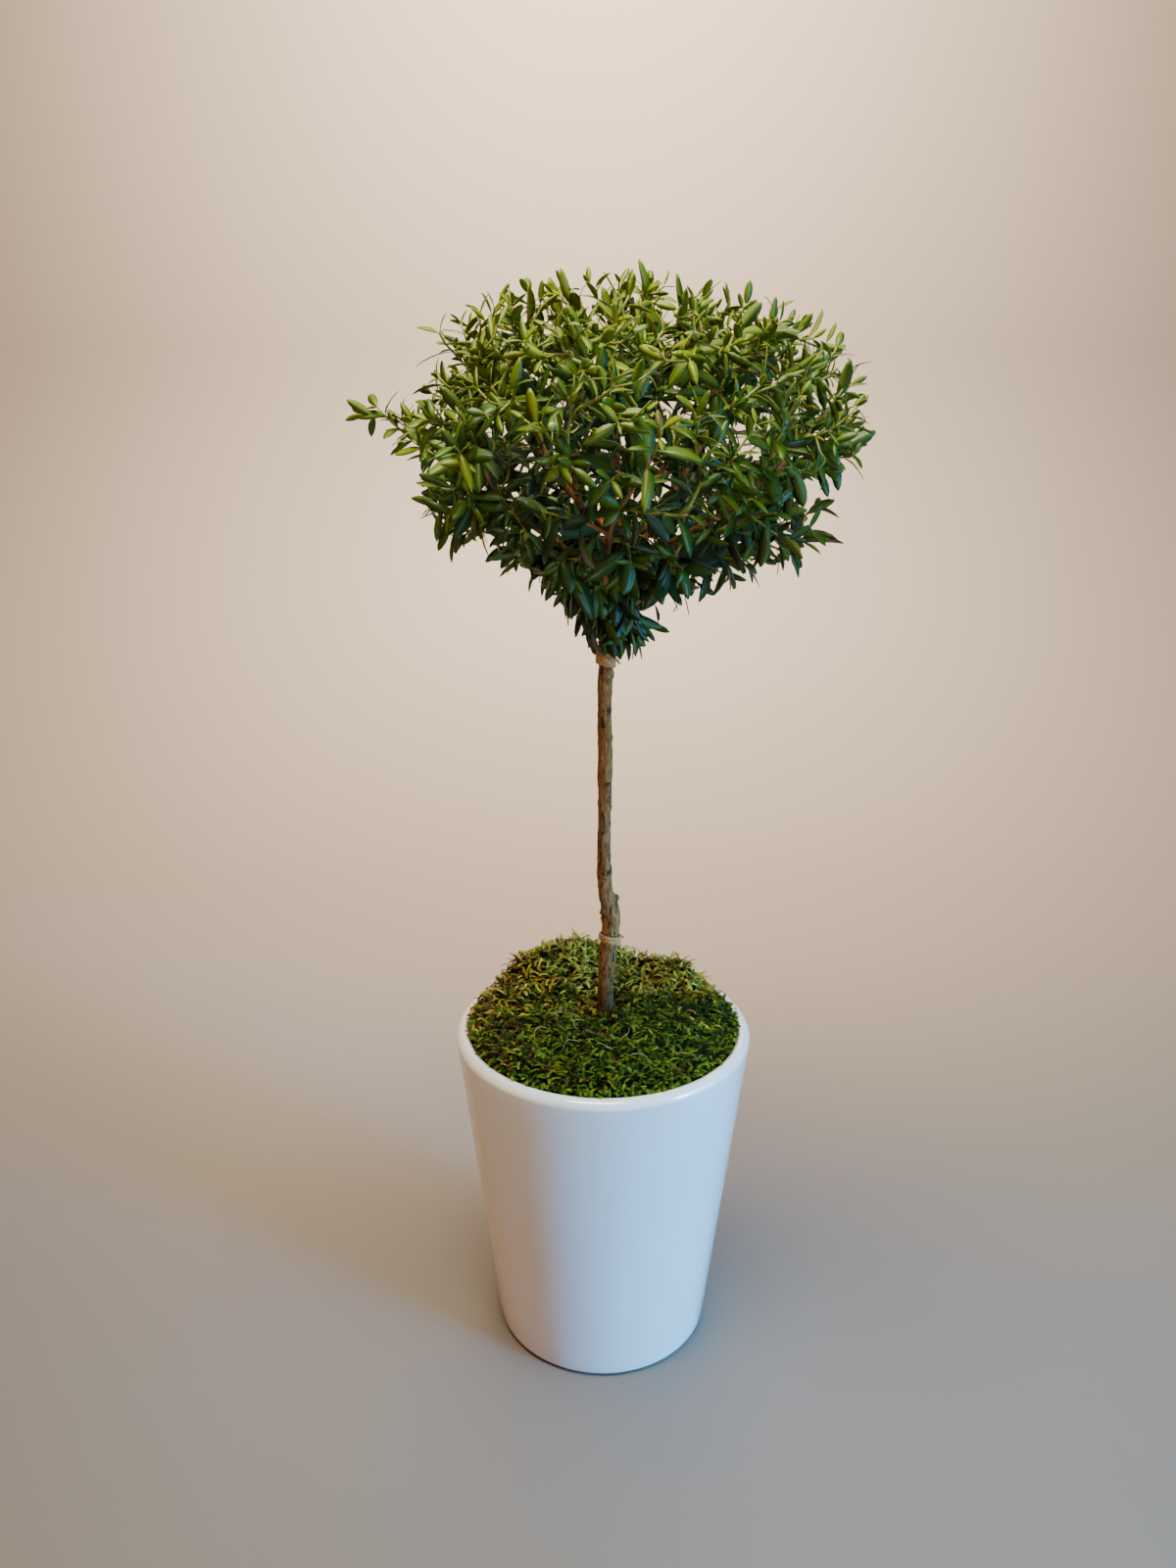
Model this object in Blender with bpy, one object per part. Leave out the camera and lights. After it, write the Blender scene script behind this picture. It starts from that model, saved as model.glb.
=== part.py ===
"""A potted myrtle standard: a small-leaved evergreen on one bare stem, in a glazed pot with moss on top.

Metres, +Z up, with the origin at the centre of the pot's flat underside. Each sub-part is one object.
The crown is grown by one rule. Its outline is shared out among the boughs, so that each mass of foliage keeps
to the space nearest its own centre, and in that space twigs reach for seeded shoot tips and carry leaf pairs.
"""

import math
import random

import bmesh
import bpy
from mathutils import Matrix, Vector

MM = 0.001
UP = Vector((0, 0, 1))

# The gap that every two neighbouring pieces keep
GAP = 0.3 * MM

# Pot: a turned, tapering beaker, whose lip is rounded more outside than inside
POT_HEIGHT = 161.5 * MM
RIM_RADIUS = 70 * MM
FOOT_RADIUS = 51.5 * MM
WALL = 6.4 * MM
LIP_OUTSIDE = 3.8 * MM
LIP_INSIDE = 2.2 * MM
FLOOR = 9 * MM
FOOT_ROUNDING = 4 * MM
POT_SEGMENTS = 48

# Filling: potting soil, and the moss cushion that covers it
SOIL_BELOW_RIM = 10 * MM
SOIL_SEGMENTS = 24
MOSS_RISE = 10.5 * MM
MOSS_EDGE_RISE = 1.5 * MM
MOSS_HOLE_BELOW = 8.2 * MM
MOSS_HOLE_ABOVE = 5.1 * MM
MOSS_DIP = 3 * MM
MOSS_DIP_SPREAD = 12 * MM
MOSS_SPOKES = 32
MOSS_RINGS = 8

# Clumps and hollows of the moss: place to the right and to the back, spread, and rise
MOSS_CLUMPS = [
    (-8 * MM, 50 * MM, 22 * MM, 13 * MM),
    (-36 * MM, 40 * MM, 19 * MM, 12 * MM),
    (-56 * MM, 12 * MM, 14 * MM, 3 * MM),
    (24 * MM, 52 * MM, 12 * MM, 4.5 * MM),
    (43 * MM, 41 * MM, 16 * MM, 9.5 * MM),
    (56 * MM, 10 * MM, 14 * MM, 2 * MM),
    (12 * MM, 32 * MM, 11 * MM, -4 * MM),
    (8 * MM, -38 * MM, 22 * MM, 1.5 * MM),
]

# Trunk: height over the pot's underside, drift to the right and to the back, and radius
TRUNK_FOOT = POT_HEIGHT - SOIL_BELOW_RIM + GAP
TRUNK_TIP = 427 * MM
TRUNK_COURSE = [
    (TRUNK_FOOT, 0.9 * MM, 0.0 * MM, 7.0 * MM),
    (158.5 * MM, 1.0 * MM, 0.0 * MM, 4.9 * MM),
    (170 * MM, 1.1 * MM, 0.2 * MM, 3.7 * MM),
    (187 * MM, 1.6 * MM, 0.4 * MM, 3.8 * MM),
    (199 * MM, 2.2 * MM, 0.5 * MM, 4.05 * MM),
    (206 * MM, 2.9 * MM, 0.45 * MM, 4.0 * MM),
    (212 * MM, 3.6 * MM, 0.4 * MM, 4.05 * MM),
    (218 * MM, 3.4 * MM, 0.4 * MM, 4.2 * MM),
    (223 * MM, 2.6 * MM, 0.3 * MM, 3.9 * MM),
    (229 * MM, 1.1 * MM, 0.1 * MM, 3.4 * MM),
    (238 * MM, 0.4 * MM, 0.0 * MM, 3.3 * MM),
    (253 * MM, 0.2 * MM, -0.2 * MM, 2.9 * MM),
    (270 * MM, 0.3 * MM, -0.3 * MM, 3.0 * MM),
    (298 * MM, 0.5 * MM, 0.0 * MM, 3.25 * MM),
    (316 * MM, 0.2 * MM, 0.2 * MM, 2.95 * MM),
    (332 * MM, 0.5 * MM, 0.3 * MM, 3.2 * MM),
    (345 * MM, 0.45 * MM, 0.3 * MM, 2.95 * MM),
    (372 * MM, 1.2 * MM, 0.0 * MM, 2.7 * MM),
    (398 * MM, 2.6 * MM, 0.6 * MM, 2.1 * MM),
    (TRUNK_TIP, 5.0 * MM, 0.0 * MM, 1.3 * MM),
]
TRUNK_SIDES = 8
TRUNK_STEP = 14 * MM

# Ties: name, height of the lower edge, width of one strand, strands
TIES = [
    ("tie_lower", 203.5 * MM, 2.4 * MM, 2),
    ("tie_upper", 334.0 * MM, 2.6 * MM, 3),
]
TIE_THICKNESS = 1.3 * MM
TIE_PLY = 0.4 * MM
TIE_CLEARANCE = 0.4 * MM
TIE_SEGMENTS = 14

# Crown outline: height over the pot's underside, and the radius there about the crown's own axis
CROWN_AXIS_X = 9 * MM
CROWN_OUTLINE = [
    (343 * MM, 12 * MM),
    (356 * MM, 21 * MM),
    (368 * MM, 42 * MM),
    (379 * MM, 70 * MM),
    (392 * MM, 81 * MM),
    (409 * MM, 86 * MM),
    (425 * MM, 94 * MM),
    (438 * MM, 100 * MM),
    (452 * MM, 97 * MM),
    (463 * MM, 87 * MM),
    (473 * MM, 76 * MM),
    (481 * MM, 60 * MM),
    (487 * MM, 38 * MM),
    (491 * MM, 14 * MM),
]
CROWN_HEART = Vector((CROWN_AXIS_X, 0, 420 * MM))
CROWN_WAVES = [(2, 0.02, 0.4), (3, 0.025, 2.1), (5, 0.02, 4.0)]
CROWN_BEYOND = 140 * MM

# Places where the outline is drawn in: height, bearing in degrees, how far each spreads, and its share
CROWN_DENTS = [
    (457 * MM, 180, 15 * MM, 42, 0.17),
    (374 * MM, 205, 13 * MM, 60, 0.22),
]

# Shoots that stand out of the outline: where their last leaf ends, to the right, to the back and up.
# The last four hang as a collar round the trunk's head
FURTHEST_SHOOTS = [
    (-100 * MM, -4 * MM, 447 * MM),
    (-67 * MM, 6 * MM, 471 * MM),
    (-26 * MM, -8 * MM, 492 * MM),
    (38 * MM, 4 * MM, 492 * MM),
    (72 * MM, 2 * MM, 487 * MM),
    (100 * MM, -6 * MM, 456 * MM),
    (111 * MM, 3 * MM, 435 * MM),
    (18 * MM, -106 * MM, 441 * MM),
    (-14 * MM, 103 * MM, 449 * MM),
    (60 * MM, 84 * MM, 462 * MM),
    (12 * MM, 13 * MM, 348 * MM),
    (-10 * MM, -5 * MM, 347 * MM),
    (14 * MM, -11 * MM, 346 * MM),
    (1 * MM, -13 * MM, 344 * MM),
]

# Masses of foliage by tier: count, distance from the crown's axis, height, first bearing in degrees
TIERS = {
    "crest": (1, 0 * MM, 474 * MM, 0),
    "upper": (5, 56 * MM, 461 * MM, 20),
    "outer": (7, 76 * MM, 417 * MM, 8),
    "under": (3, 30 * MM, 376 * MM, 75),
}
MASS_CLEARANCE = 0.2 * MM

# Boughs: where they leave the trunk, and their radius at base and tip
BOUGHS_FROM = {"under": 350 * MM, "outer": 360 * MM, "upper": 383 * MM}
BOUGH_SPACING = 3.1 * MM
LEVEL_STEP = {"under": 1, "outer": 3, "upper": 2}
BOUGH_LIFT = math.radians(32)
BOUGH_BASE_RADIUS = 1.6 * MM
BOUGH_TIP_RADIUS = 1.15 * MM
BOUGH_SIDES = 5
BOUGH_STEP = 9 * MM
SHORTEST_BOUGH = 9 * MM

# Twigs and leaves
SHOOTS = {"crest": 8, "upper": 7, "outer": 7, "under": 6}
SHOOT_INSET = 11 * MM
SHOOT_BAND = 13 * MM
SHOOT_OVERHANG = 3 * MM
SHOOT_SPACING = 30 * MM
SHOOT_SPACING_EASE = 0.997
MASS_REACH = 66 * MM
TIP_CLEARANCE = 3 * MM
TWIG_CLEARANCE = 1.5 * MM
TWIG_STEP = 13 * MM
TWIG_SIDES = 3
STEM_RADIUS = 1.1 * MM
STEM_COLLAR = 2.5 * MM
TWIG_RADIUS = 0.8 * MM
TWIG_TIP_SHARE = 0.6
LEAF_LENGTH = 24 * MM
LEAF_WIDTH_SHARE = 0.48
LEAF_THICKNESS_SHARE = 0.04
LEAF_ARCH = 0.08
LEAF_TIP_LENGTH = 0.75
LEAF_TIP_SET_IN = 1.5 * MM

# How a leaf is tried: its share of the full length, and how far it spreads from its twig
LEAF_TRIES = [(1.0, 1.0), (1.0, 0.4), (0.62, 0.9)]
LEAF_PAIR_SPACING = 11.3 * MM
LEAFY_LENGTH = 21 * MM
LEAVES_HANG_BELOW = 395 * MM
SEED = 20

# Shared finishes: base colour, roughness
FINISHES = {
    "glazed_white": ((0.86, 0.85, 0.83), 0.12),
    "potting_soil": ((0.035, 0.022, 0.014), 0.95),
    "cushion_moss": ((0.11, 0.16, 0.02), 0.9),
    "bark": ((0.20, 0.12, 0.065), 0.8),
    "raffia": ((0.52, 0.33, 0.15), 0.7),
    "foliage": ((0.055, 0.13, 0.02), 0.45),
}


def finish(name):
    """The named finish as a material, made the first time that it is asked for."""
    material = bpy.data.materials.get(name)
    if material is None:
        colour, roughness = FINISHES[name]
        material = bpy.data.materials.new(name)
        material.use_nodes = True
        shader = material.node_tree.nodes["Principled BSDF"]
        shader.inputs["Base Color"].default_value = (*colour, 1)
        shader.inputs["Roughness"].default_value = roughness
        shader.inputs["Metallic"].default_value = 0
        material.diffuse_color = (*colour, 1)
    return material


def add_object(name, shape, finish_name, smooth_angle=None):
    """Turns a finished bmesh into an object of the scene, with its faces pointing out."""
    bmesh.ops.recalc_face_normals(shape, faces=shape.faces)
    mesh = bpy.data.meshes.new(name)
    shape.to_mesh(mesh)
    shape.free()
    mesh.materials.append(finish(finish_name))
    if smooth_angle is not None:
        mesh.shade_smooth()
        mesh.set_sharp_from_angle(angle=math.radians(smooth_angle))
    made = bpy.data.objects.new(name, mesh)
    bpy.context.scene.collection.objects.link(made)
    return made


def arc(centre, radius, start, end, count):
    """Points of a circular arc in the (radius, height) plane, from start to end degrees."""
    points = []
    for step in range(count + 1):
        angle = math.radians(start + (end - start) * step / count)
        points.append((centre[0] + radius * math.cos(angle), centre[1] + radius * math.sin(angle)))
    return points


def turned(profile, segments, closed=False):
    """A body turned round Z from (radius, height) points. An open profile starts and ends on the axis."""
    shape = bmesh.new()
    points = [shape.verts.new((radius, 0, height)) for radius, height in profile]
    pairs = list(zip(points, points[1:]))
    if closed:
        pairs.append((points[-1], points[0]))
    edges = [shape.edges.new(pair) for pair in pairs]
    bmesh.ops.spin(shape, geom=points + edges, axis=UP, cent=(0, 0, 0), angle=math.tau, steps=segments)
    bmesh.ops.remove_doubles(shape, verts=shape.verts, dist=MM / 1000)
    return shape


def between(rows, at):
    """Values read smoothly, by a Catmull-Rom curve, from rows whose first number rises."""
    last = len(rows) - 2
    index = next((i for i in range(last) if at < rows[i + 1][0]), last)
    low, high = rows[index], rows[index + 1]
    before = rows[max(index - 1, 0)]
    after = rows[min(index + 2, len(rows) - 1)]
    t = (at - low[0]) / (high[0] - low[0])
    values = []
    for a, b, c, d in zip(before[1:], low[1:], high[1:], after[1:]):
        bend = (2 * a - 5 * b + 4 * c - d) * t * t + (3 * b - a - 3 * c + d) * t**3
        values.append(b + ((c - a) * t + bend) / 2)
    return values


def tube(path, radii, sides):
    """A closed tapering tube along a path, with a ring of corners at each point and flat ends."""
    shape = bmesh.new()
    rings = []
    side = None
    for index, point in enumerate(path):
        ahead = (path[min(index + 1, len(path) - 1)] - path[max(index - 1, 0)]).normalized()
        side = ahead.orthogonal() if side is None else side - ahead * side.dot(ahead)
        side.normalize()
        across = ahead.cross(side)
        ring = []
        for corner in range(sides):
            turn = math.tau * corner / sides
            offset = (side * math.cos(turn) + across * math.sin(turn)) * radii[index]
            ring.append(shape.verts.new(point + offset))
        rings.append(ring)
    for lower, upper in zip(rings, rings[1:]):
        for corner in range(sides):
            after = (corner + 1) % sides
            shape.faces.new((lower[corner], lower[after], upper[after], upper[corner]))
    shape.faces.new(rings[0][::-1])
    shape.faces.new(rings[-1])
    return shape


def bent_path(start, leaving, end, arriving, step):
    """Points, about a step apart, of a smooth line that leaves start and reaches end in given directions."""
    reach = (end - start).length
    first = start + leaving * reach * 0.35
    second = end - arriving * reach * 0.35
    count = max(2, round(reach / step))
    points = []
    for index in range(count + 1):
        t = index / count
        s = 1 - t
        points.append(s**3 * start + 3 * s * s * t * first + 3 * s * t * t * second + t**3 * end)
    return points


# Pot, soil and moss


def pot_outer_radius(height):
    """Radius of the pot's outer face at a height."""
    return FOOT_RADIUS + (RIM_RADIUS - FOOT_RADIUS) * height / POT_HEIGHT


def pot_inner_radius(height):
    """Radius of the pot's inner face at a height."""
    return pot_outer_radius(height) - WALL


def make_pot():
    foot = pot_outer_radius(FOOT_ROUNDING) - FOOT_ROUNDING
    outside = pot_outer_radius(POT_HEIGHT - LIP_OUTSIDE) - LIP_OUTSIDE
    inside = pot_inner_radius(POT_HEIGHT - LIP_INSIDE) + LIP_INSIDE
    profile = [(0, 0)]
    profile += arc((foot, FOOT_ROUNDING), FOOT_ROUNDING, -90, -6, 3)
    profile += arc((outside, POT_HEIGHT - LIP_OUTSIDE), LIP_OUTSIDE, -6, 90, 4)
    profile += arc((inside, POT_HEIGHT - LIP_INSIDE), LIP_INSIDE, 90, 174, 2)
    inner_foot = pot_inner_radius(FLOOR + FOOT_ROUNDING) - FOOT_ROUNDING
    profile += arc((inner_foot, FLOOR + FOOT_ROUNDING), FOOT_ROUNDING, -6, -90, 2)
    profile += [(0, FLOOR)]
    add_object("pot", turned(profile, POT_SEGMENTS), "glazed_white", smooth_angle=40)


def make_soil():
    top = POT_HEIGHT - SOIL_BELOW_RIM
    low = FLOOR + FOOT_ROUNDING
    profile = [
        (0, FLOOR + GAP),
        (pot_inner_radius(low) - FOOT_ROUNDING - GAP, FLOOR + GAP),
        (pot_inner_radius(low) - 2 * GAP, low),
        (pot_inner_radius(top) - 2 * GAP, top),
        (0, top),
    ]
    add_object("soil", turned(profile, SOIL_SEGMENTS), "potting_soil")


def moss_height(point):
    """Height of the moss at a place: a dome with a dip at the trunk, and clumps, highest at the back."""
    distance = math.hypot(point.x, point.y)
    share = distance / pot_inner_radius(POT_HEIGHT)
    height = POT_HEIGHT + MOSS_EDGE_RISE + (MOSS_RISE - MOSS_EDGE_RISE) * (1 - share**3)
    height -= MOSS_DIP * math.exp(-((distance / MOSS_DIP_SPREAD) ** 2))
    for x, y, spread, rise in MOSS_CLUMPS:
        height += rise * math.exp(-((point.x - x) ** 2 + (point.y - y) ** 2) / spread**2)
    return height


def make_moss():
    """The cushion is a ring of moss: domed above, flat below on the soil, with a hole for the trunk."""
    shape = bmesh.new()
    base = POT_HEIGHT - SOIL_BELOW_RIM + GAP
    trunk_x = between(TRUNK_COURSE, base)[0]
    edge = pot_inner_radius(base) - 2 * GAP
    brim = pot_inner_radius(POT_HEIGHT - WALL / 2) - 2 * GAP
    spokes = []
    for spoke in range(MOSS_SPOKES):
        bearing = math.tau * spoke / MOSS_SPOKES
        out = Vector((math.cos(bearing), math.sin(bearing), 0))
        column = [shape.verts.new(Vector((trunk_x, 0, base)) + out * MOSS_HOLE_BELOW)]
        hole = Vector((trunk_x, 0, 0)) + out * MOSS_HOLE_ABOVE
        for ring in range(MOSS_RINGS + 1):
            point = hole.lerp(out * brim, (ring / MOSS_RINGS) ** 0.8)
            column.append(shape.verts.new(point + UP * moss_height(point)))
        column.append(shape.verts.new(out * brim + UP * (POT_HEIGHT - WALL / 2)))
        column.append(shape.verts.new(out * edge + UP * base))
        spokes.append(column)
    for spoke, column in enumerate(spokes):
        beside = spokes[(spoke + 1) % MOSS_SPOKES]
        for row in range(len(column)):
            above = (row + 1) % len(column)
            shape.faces.new((column[row], beside[row], beside[above], column[above]))
    add_object("moss", shape, "cushion_moss", smooth_angle=50)


# Trunk, ties and boughs


def trunk_point(height):
    drift_x, drift_y, _ = between(TRUNK_COURSE, height)
    return Vector((drift_x, drift_y, height))


def trunk_radius(height):
    return between(TRUNK_COURSE, height)[2]


def make_trunk():
    """The trunk from its flat cut on the soil to its tip. Its lowest ring is level, as the cut is."""
    count = round((TRUNK_TIP - TRUNK_FOOT) / TRUNK_STEP)
    heights = [row[0] for row in TRUNK_COURSE]
    for index in range(count):
        height = TRUNK_FOOT + (TRUNK_TIP - TRUNK_FOOT) * index / count
        if min(abs(height - row[0]) for row in TRUNK_COURSE) > TRUNK_STEP / 3:
            heights.append(height)
    heights.sort()
    path = [trunk_point(height) for height in heights]
    path[1] = Vector((path[0].x, path[0].y, path[1].z))
    radii = [trunk_radius(height) for height in heights]
    add_object("trunk", tube(path, radii, TRUNK_SIDES), "bark", smooth_angle=60)
    return [(path, radii)]


def make_tie(name, low, strand, strands):
    """A band of cord round the trunk, each strand a round ridge, 0.3 mm clear of the bark."""
    height = low + strand * strands / 2
    inner = max(trunk_radius(low), trunk_radius(low + strand * strands)) + TIE_CLEARANCE
    profile = [(inner, -strand * strands / 2), (inner, strand * strands / 2)]
    for turn in range(strands):
        middle = strand * (strands / 2 - turn - 0.5)
        for share in (0.4, 0.0, -0.4):
            swell = TIE_THICKNESS * (1 - 0.9 * share * share / 0.25)
            profile.append((inner + TIE_PLY + swell, middle + strand * share))
    tie = add_object(name, turned(profile, TIE_SEGMENTS, closed=True), "raffia", smooth_angle=50)
    lean = trunk_point(height + strand) - trunk_point(height - strand)
    tie.location = trunk_point(height)
    tie.rotation_euler = UP.rotation_difference(lean).to_euler()


def bough_path(start_height, bearing, mass, radius):
    """A limb that leaves the trunk's side with a lift and ends where it enters its mass's space."""
    out = Vector((math.cos(bearing), math.sin(bearing), 0))
    leaving = out * math.cos(BOUGH_LIFT) + UP * math.sin(BOUGH_LIFT)
    clear = trunk_radius(start_height) + GAP + radius * math.sin(BOUGH_LIFT)
    start = trunk_point(start_height) + out * clear
    arriving = (mass["centre"] - start).normalized()
    whole = bent_path(start, leaving, mass["centre"], arriving, MM)
    entry = next(index for index, point in enumerate(whole) if keeps_to_space(point, mass, 2 * MM))
    end = max(entry, round(SHORTEST_BOUGH / MM))
    count = max(2, round(end * MM / BOUGH_STEP))
    return [whole[round(end * index / count)] for index in range(count + 1)]


# Crown: its outline, and the space of each mass


def crown_radius(height, bearing):
    """Radius of the crown's outline about its own axis, or 0 above and below it."""
    if not CROWN_OUTLINE[0][0] <= height <= CROWN_OUTLINE[-1][0]:
        return 0.0
    index = next(i for i, row in enumerate(CROWN_OUTLINE[1:]) if height <= row[0])
    low, high = CROWN_OUTLINE[index], CROWN_OUTLINE[index + 1]
    radius = low[1] + (high[1] - low[1]) * (height - low[0]) / (high[0] - low[0])
    share = 1 + sum(size * math.sin(lobes * bearing + phase) for lobes, size, phase in CROWN_WAVES)
    for level, toward, tall, wide, depth in CROWN_DENTS:
        aside = (math.degrees(bearing) - toward + 180) % 360 - 180
        share -= depth * math.exp(-(((height - level) / tall) ** 2) - (aside / wide) ** 2)
    return radius * share


def depth_in_crown(point):
    """How far a point lies inside the crown's outline, in a straight line from the crown's heart."""
    ray = point - CROWN_HEART
    low, high = 0.0, CROWN_BEYOND / max(ray.length, MM)
    for _ in range(18):
        middle = (low + high) / 2
        probe = CROWN_HEART + ray * middle - Vector((CROWN_AXIS_X, 0, 0))
        inside = math.hypot(probe.x, probe.y) < crown_radius(probe.z, math.atan2(probe.y, probe.x))
        low, high = (middle, high) if inside else (low, middle)
    return ray.length * (low - 1)


def keeps_to_space(point, mass, clearance=MASS_CLEARANCE):
    """Whether a point is nearer to the mass's own centre than to any other, by a clearance."""
    own = mass["centre"]
    for other in mass["others"]:
        across = other - own
        if (point - own).dot(across) / across.length > across.length / 2 - clearance:
            return False
    return True


def plan_masses():
    """The centre and bearing of each mass of foliage. What lies nearest to a centre is its space."""
    masses = []
    for tier, (count, distance, height, first) in TIERS.items():
        for index in range(count):
            bearing = math.radians(first) + math.tau * index / count
            centre = Vector((CROWN_AXIS_X, 0, height))
            centre += Vector((math.cos(bearing), math.sin(bearing), 0)) * distance
            name = f"foliage_{tier}_{index + 1}" if count > 1 else f"foliage_{tier}"
            masses.append({"name": name, "tier": tier, "index": index, "bearing": bearing, "centre": centre})
    for mass in masses:
        mass["others"] = [other["centre"] for other in masses if other is not mass]
    return masses


def clamp(value):
    return min(max(value, 0.0), 1.0)


def apart(a, b, c, d):
    """Least distance between the straight pieces a-b and c-d, and how far along c-d it is found."""
    u, v, w = b - a, d - c, a - c
    uu, uv, vv = u.dot(u), u.dot(v), v.dot(v)
    uw, vw = u.dot(w), v.dot(w)
    s = clamp((uv * vw - vv * uw) / max(uu * vv - uv * uv, 1e-20))
    t = clamp((uv * s + vw) / vv)
    s = clamp((uv * t - uw) / uu)
    return (a + u * s - c - v * t).length, t


def gap_to_limbs(a, b, limbs):
    """Distance from the straight piece a-b to the surface of the nearest limb."""
    nearest = 1.0
    for path, radii in limbs:
        for index in range(len(path) - 1):
            distance, share = apart(a, b, path[index], path[index + 1])
            radius = radii[index] + (radii[index + 1] - radii[index]) * share
            nearest = min(nearest, distance - radius)
    return nearest


# Growth of one mass


def outward(point):
    """The way that a shoot points there: away from the crown's heart, and turned up to the light."""
    return ((point - CROWN_HEART).normalized() + UP * 0.4).normalized()


def shoot_tips(mass, count, rng):
    """The ends of the twigs in the mass's space: the far shoots that it holds, then seeded ones."""
    tips = []
    for far in FURTHEST_SHOOTS:
        far = Vector(far)
        tip = far - outward(far) * (LEAF_LENGTH * LEAF_TIP_LENGTH - LEAF_TIP_SET_IN)
        if keeps_to_space(tip, mass, TIP_CLEARANCE):
            tips.append(tip)
    spacing = SHOOT_SPACING
    while len(tips) < count:
        spacing *= SHOOT_SPACING_EASE
        reach = Vector((rng.uniform(-1, 1), rng.uniform(-1, 1), rng.uniform(-1, 1))) * MASS_REACH
        tip = mass["centre"] + reach
        depth = depth_in_crown(tip)
        if not SHOOT_INSET < depth < SHOOT_INSET + SHOOT_BAND * rng.random():
            continue
        if not keeps_to_space(tip, mass, TIP_CLEARANCE):
            continue
        if all((tip - other).length > spacing for other in tips):
            tips.append(tip)
    return tips


def clear_run(start, points, mass, limbs):
    """The leading points of a path that stay in the mass's space, with each piece clear of the limbs."""
    kept = []
    for point in points:
        if not keeps_to_space(point, mass, TWIG_CLEARANCE):
            break
        if gap_to_limbs(kept[-1] if kept else start, point, limbs) < STEM_RADIUS + GAP:
            break
        kept.append(point)
    return kept


def grow_twigs(root, leaving, tips, mass, limbs):
    """Joins each tip, nearest first, to the twig point that it can leave with the least length and bend."""
    first = max(tips, key=lambda tip: (tip - root).dot(leaving))
    order = [first] + sorted((tip for tip in tips if tip is not first), key=lambda tip: (tip - root).length)
    twigs = []
    joints = [(root, leaving)]
    for tip in order:
        def effort(joint):
            way = tip - joint[0]
            bend = 1 - joint[1].dot(way.normalized())
            return way.length * (1 + 1.3 * bend)

        start, heading = min(joints, key=effort)
        if twigs:
            begun = [start]
            heading = (heading + (tip - start).normalized() * 0.9).normalized()
        else:
            begun = [start, start + heading * STEM_COLLAR]
        bent = bent_path(begun[-1], heading, tip, outward(tip), TWIG_STEP)[1:]
        straight = [begun[-1].lerp(tip, step / len(bent)) for step in range(1, len(bent) + 1)]
        runs = [begun + clear_run(begun[-1], points, mass, limbs) for points in (bent, straight)]
        kept = max(runs, key=len)
        if len(kept) < 2:
            continue
        if not twigs:
            joints = [(kept[-1], leaving)]
        twigs.append(kept)
        for index in range(1, len(kept) - 1):
            joints.append((kept[index], (kept[index + 1] - kept[index - 1]).normalized()))
    return twigs


def leaf_points(root, along, face, length):
    """The five corners of a thin, arched leaf: root, tip, its two edges, and the keel under its middle."""
    across = along.cross(face).normalized()
    middle = root + along * length * 0.45 + face * length * LEAF_ARCH
    half = across * length * LEAF_WIDTH_SHARE / 2
    keel = middle - face * length * LEAF_THICKNESS_SHARE
    return [root, root + along * length, middle + half, middle - half, keel]


def leaf_shape(corners):
    shape = bmesh.new()
    root, tip, left, right, keel = [shape.verts.new(corner) for corner in corners]
    for end in (root, tip):
        shape.faces.new((end, left, right))
        shape.faces.new((end, left, keel))
        shape.faces.new((end, right, keel))
    return shape


def leaf_fits(corners, mass, limbs, overhang):
    """Whether a leaf stays in its mass's space and in the crown, and touches no limb."""
    if not all(keeps_to_space(corner, mass) for corner in corners):
        return False
    root, tip, left, right, _ = corners
    if depth_in_crown(tip) < -overhang:
        return False
    edges = [(root, left), (root, right), (left, tip), (right, tip), (left, right), (root, tip)]
    return all(gap_to_limbs(a, b, limbs) > 2 * GAP for a, b in edges)


def leaf_at(root, ahead, out, length, mass, limbs, overhang):
    """A leaf that leaves a twig sideways, or else closer along it or shorter. None if no try fits."""
    hang = -0.45 if root.z < LEAVES_HANG_BELOW else 0.15
    for share, spread in LEAF_TRIES:
        along = (ahead * 0.7 + (out + UP * hang) * spread).normalized()
        face = (ahead - along * ahead.dot(along)).normalized()
        corners = leaf_points(root, along, face, length * share)
        if leaf_fits(corners, mass, limbs, overhang):
            return corners
    return None


def leaves_of(twig, turn, rng, mass, limbs):
    """One leaf that ends a twig, and crossed pairs behind it, none of which stands out further."""
    ahead = (twig[-1] - twig[-2]).normalized()
    side = Matrix.Rotation(turn, 3, ahead) @ ahead.orthogonal().normalized()
    last = leaf_points(twig[-1] - ahead * LEAF_TIP_SET_IN, ahead, side, LEAF_LENGTH * LEAF_TIP_LENGTH)
    overhang = max(SHOOT_OVERHANG, MM - depth_in_crown(last[1]))
    leaves = [last] if leaf_fits(last, mass, limbs, overhang) else []
    back = LEAF_PAIR_SPACING * 0.3
    index = len(twig) - 2
    used = 0.0
    while back < LEAFY_LENGTH and index >= 0:
        piece = (twig[index + 1] - twig[index]).length
        if back - used > piece:
            used += piece
            index -= 1
            continue
        ahead = (twig[index + 1] - twig[index]).normalized()
        root = twig[index + 1] - ahead * (back - used)
        for half in (0, math.pi):
            out = Matrix.Rotation(turn + half, 3, ahead) @ ahead.orthogonal().normalized()
            length = LEAF_LENGTH * rng.uniform(0.85, 1.15)
            leaf = leaf_at(root, ahead, out, length, mass, limbs, overhang)
            if leaf:
                leaves.append(leaf)
        turn += math.pi / 2 + rng.uniform(-0.3, 0.3)
        back += LEAF_PAIR_SPACING * rng.uniform(0.85, 1.15)
    return leaves


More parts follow.
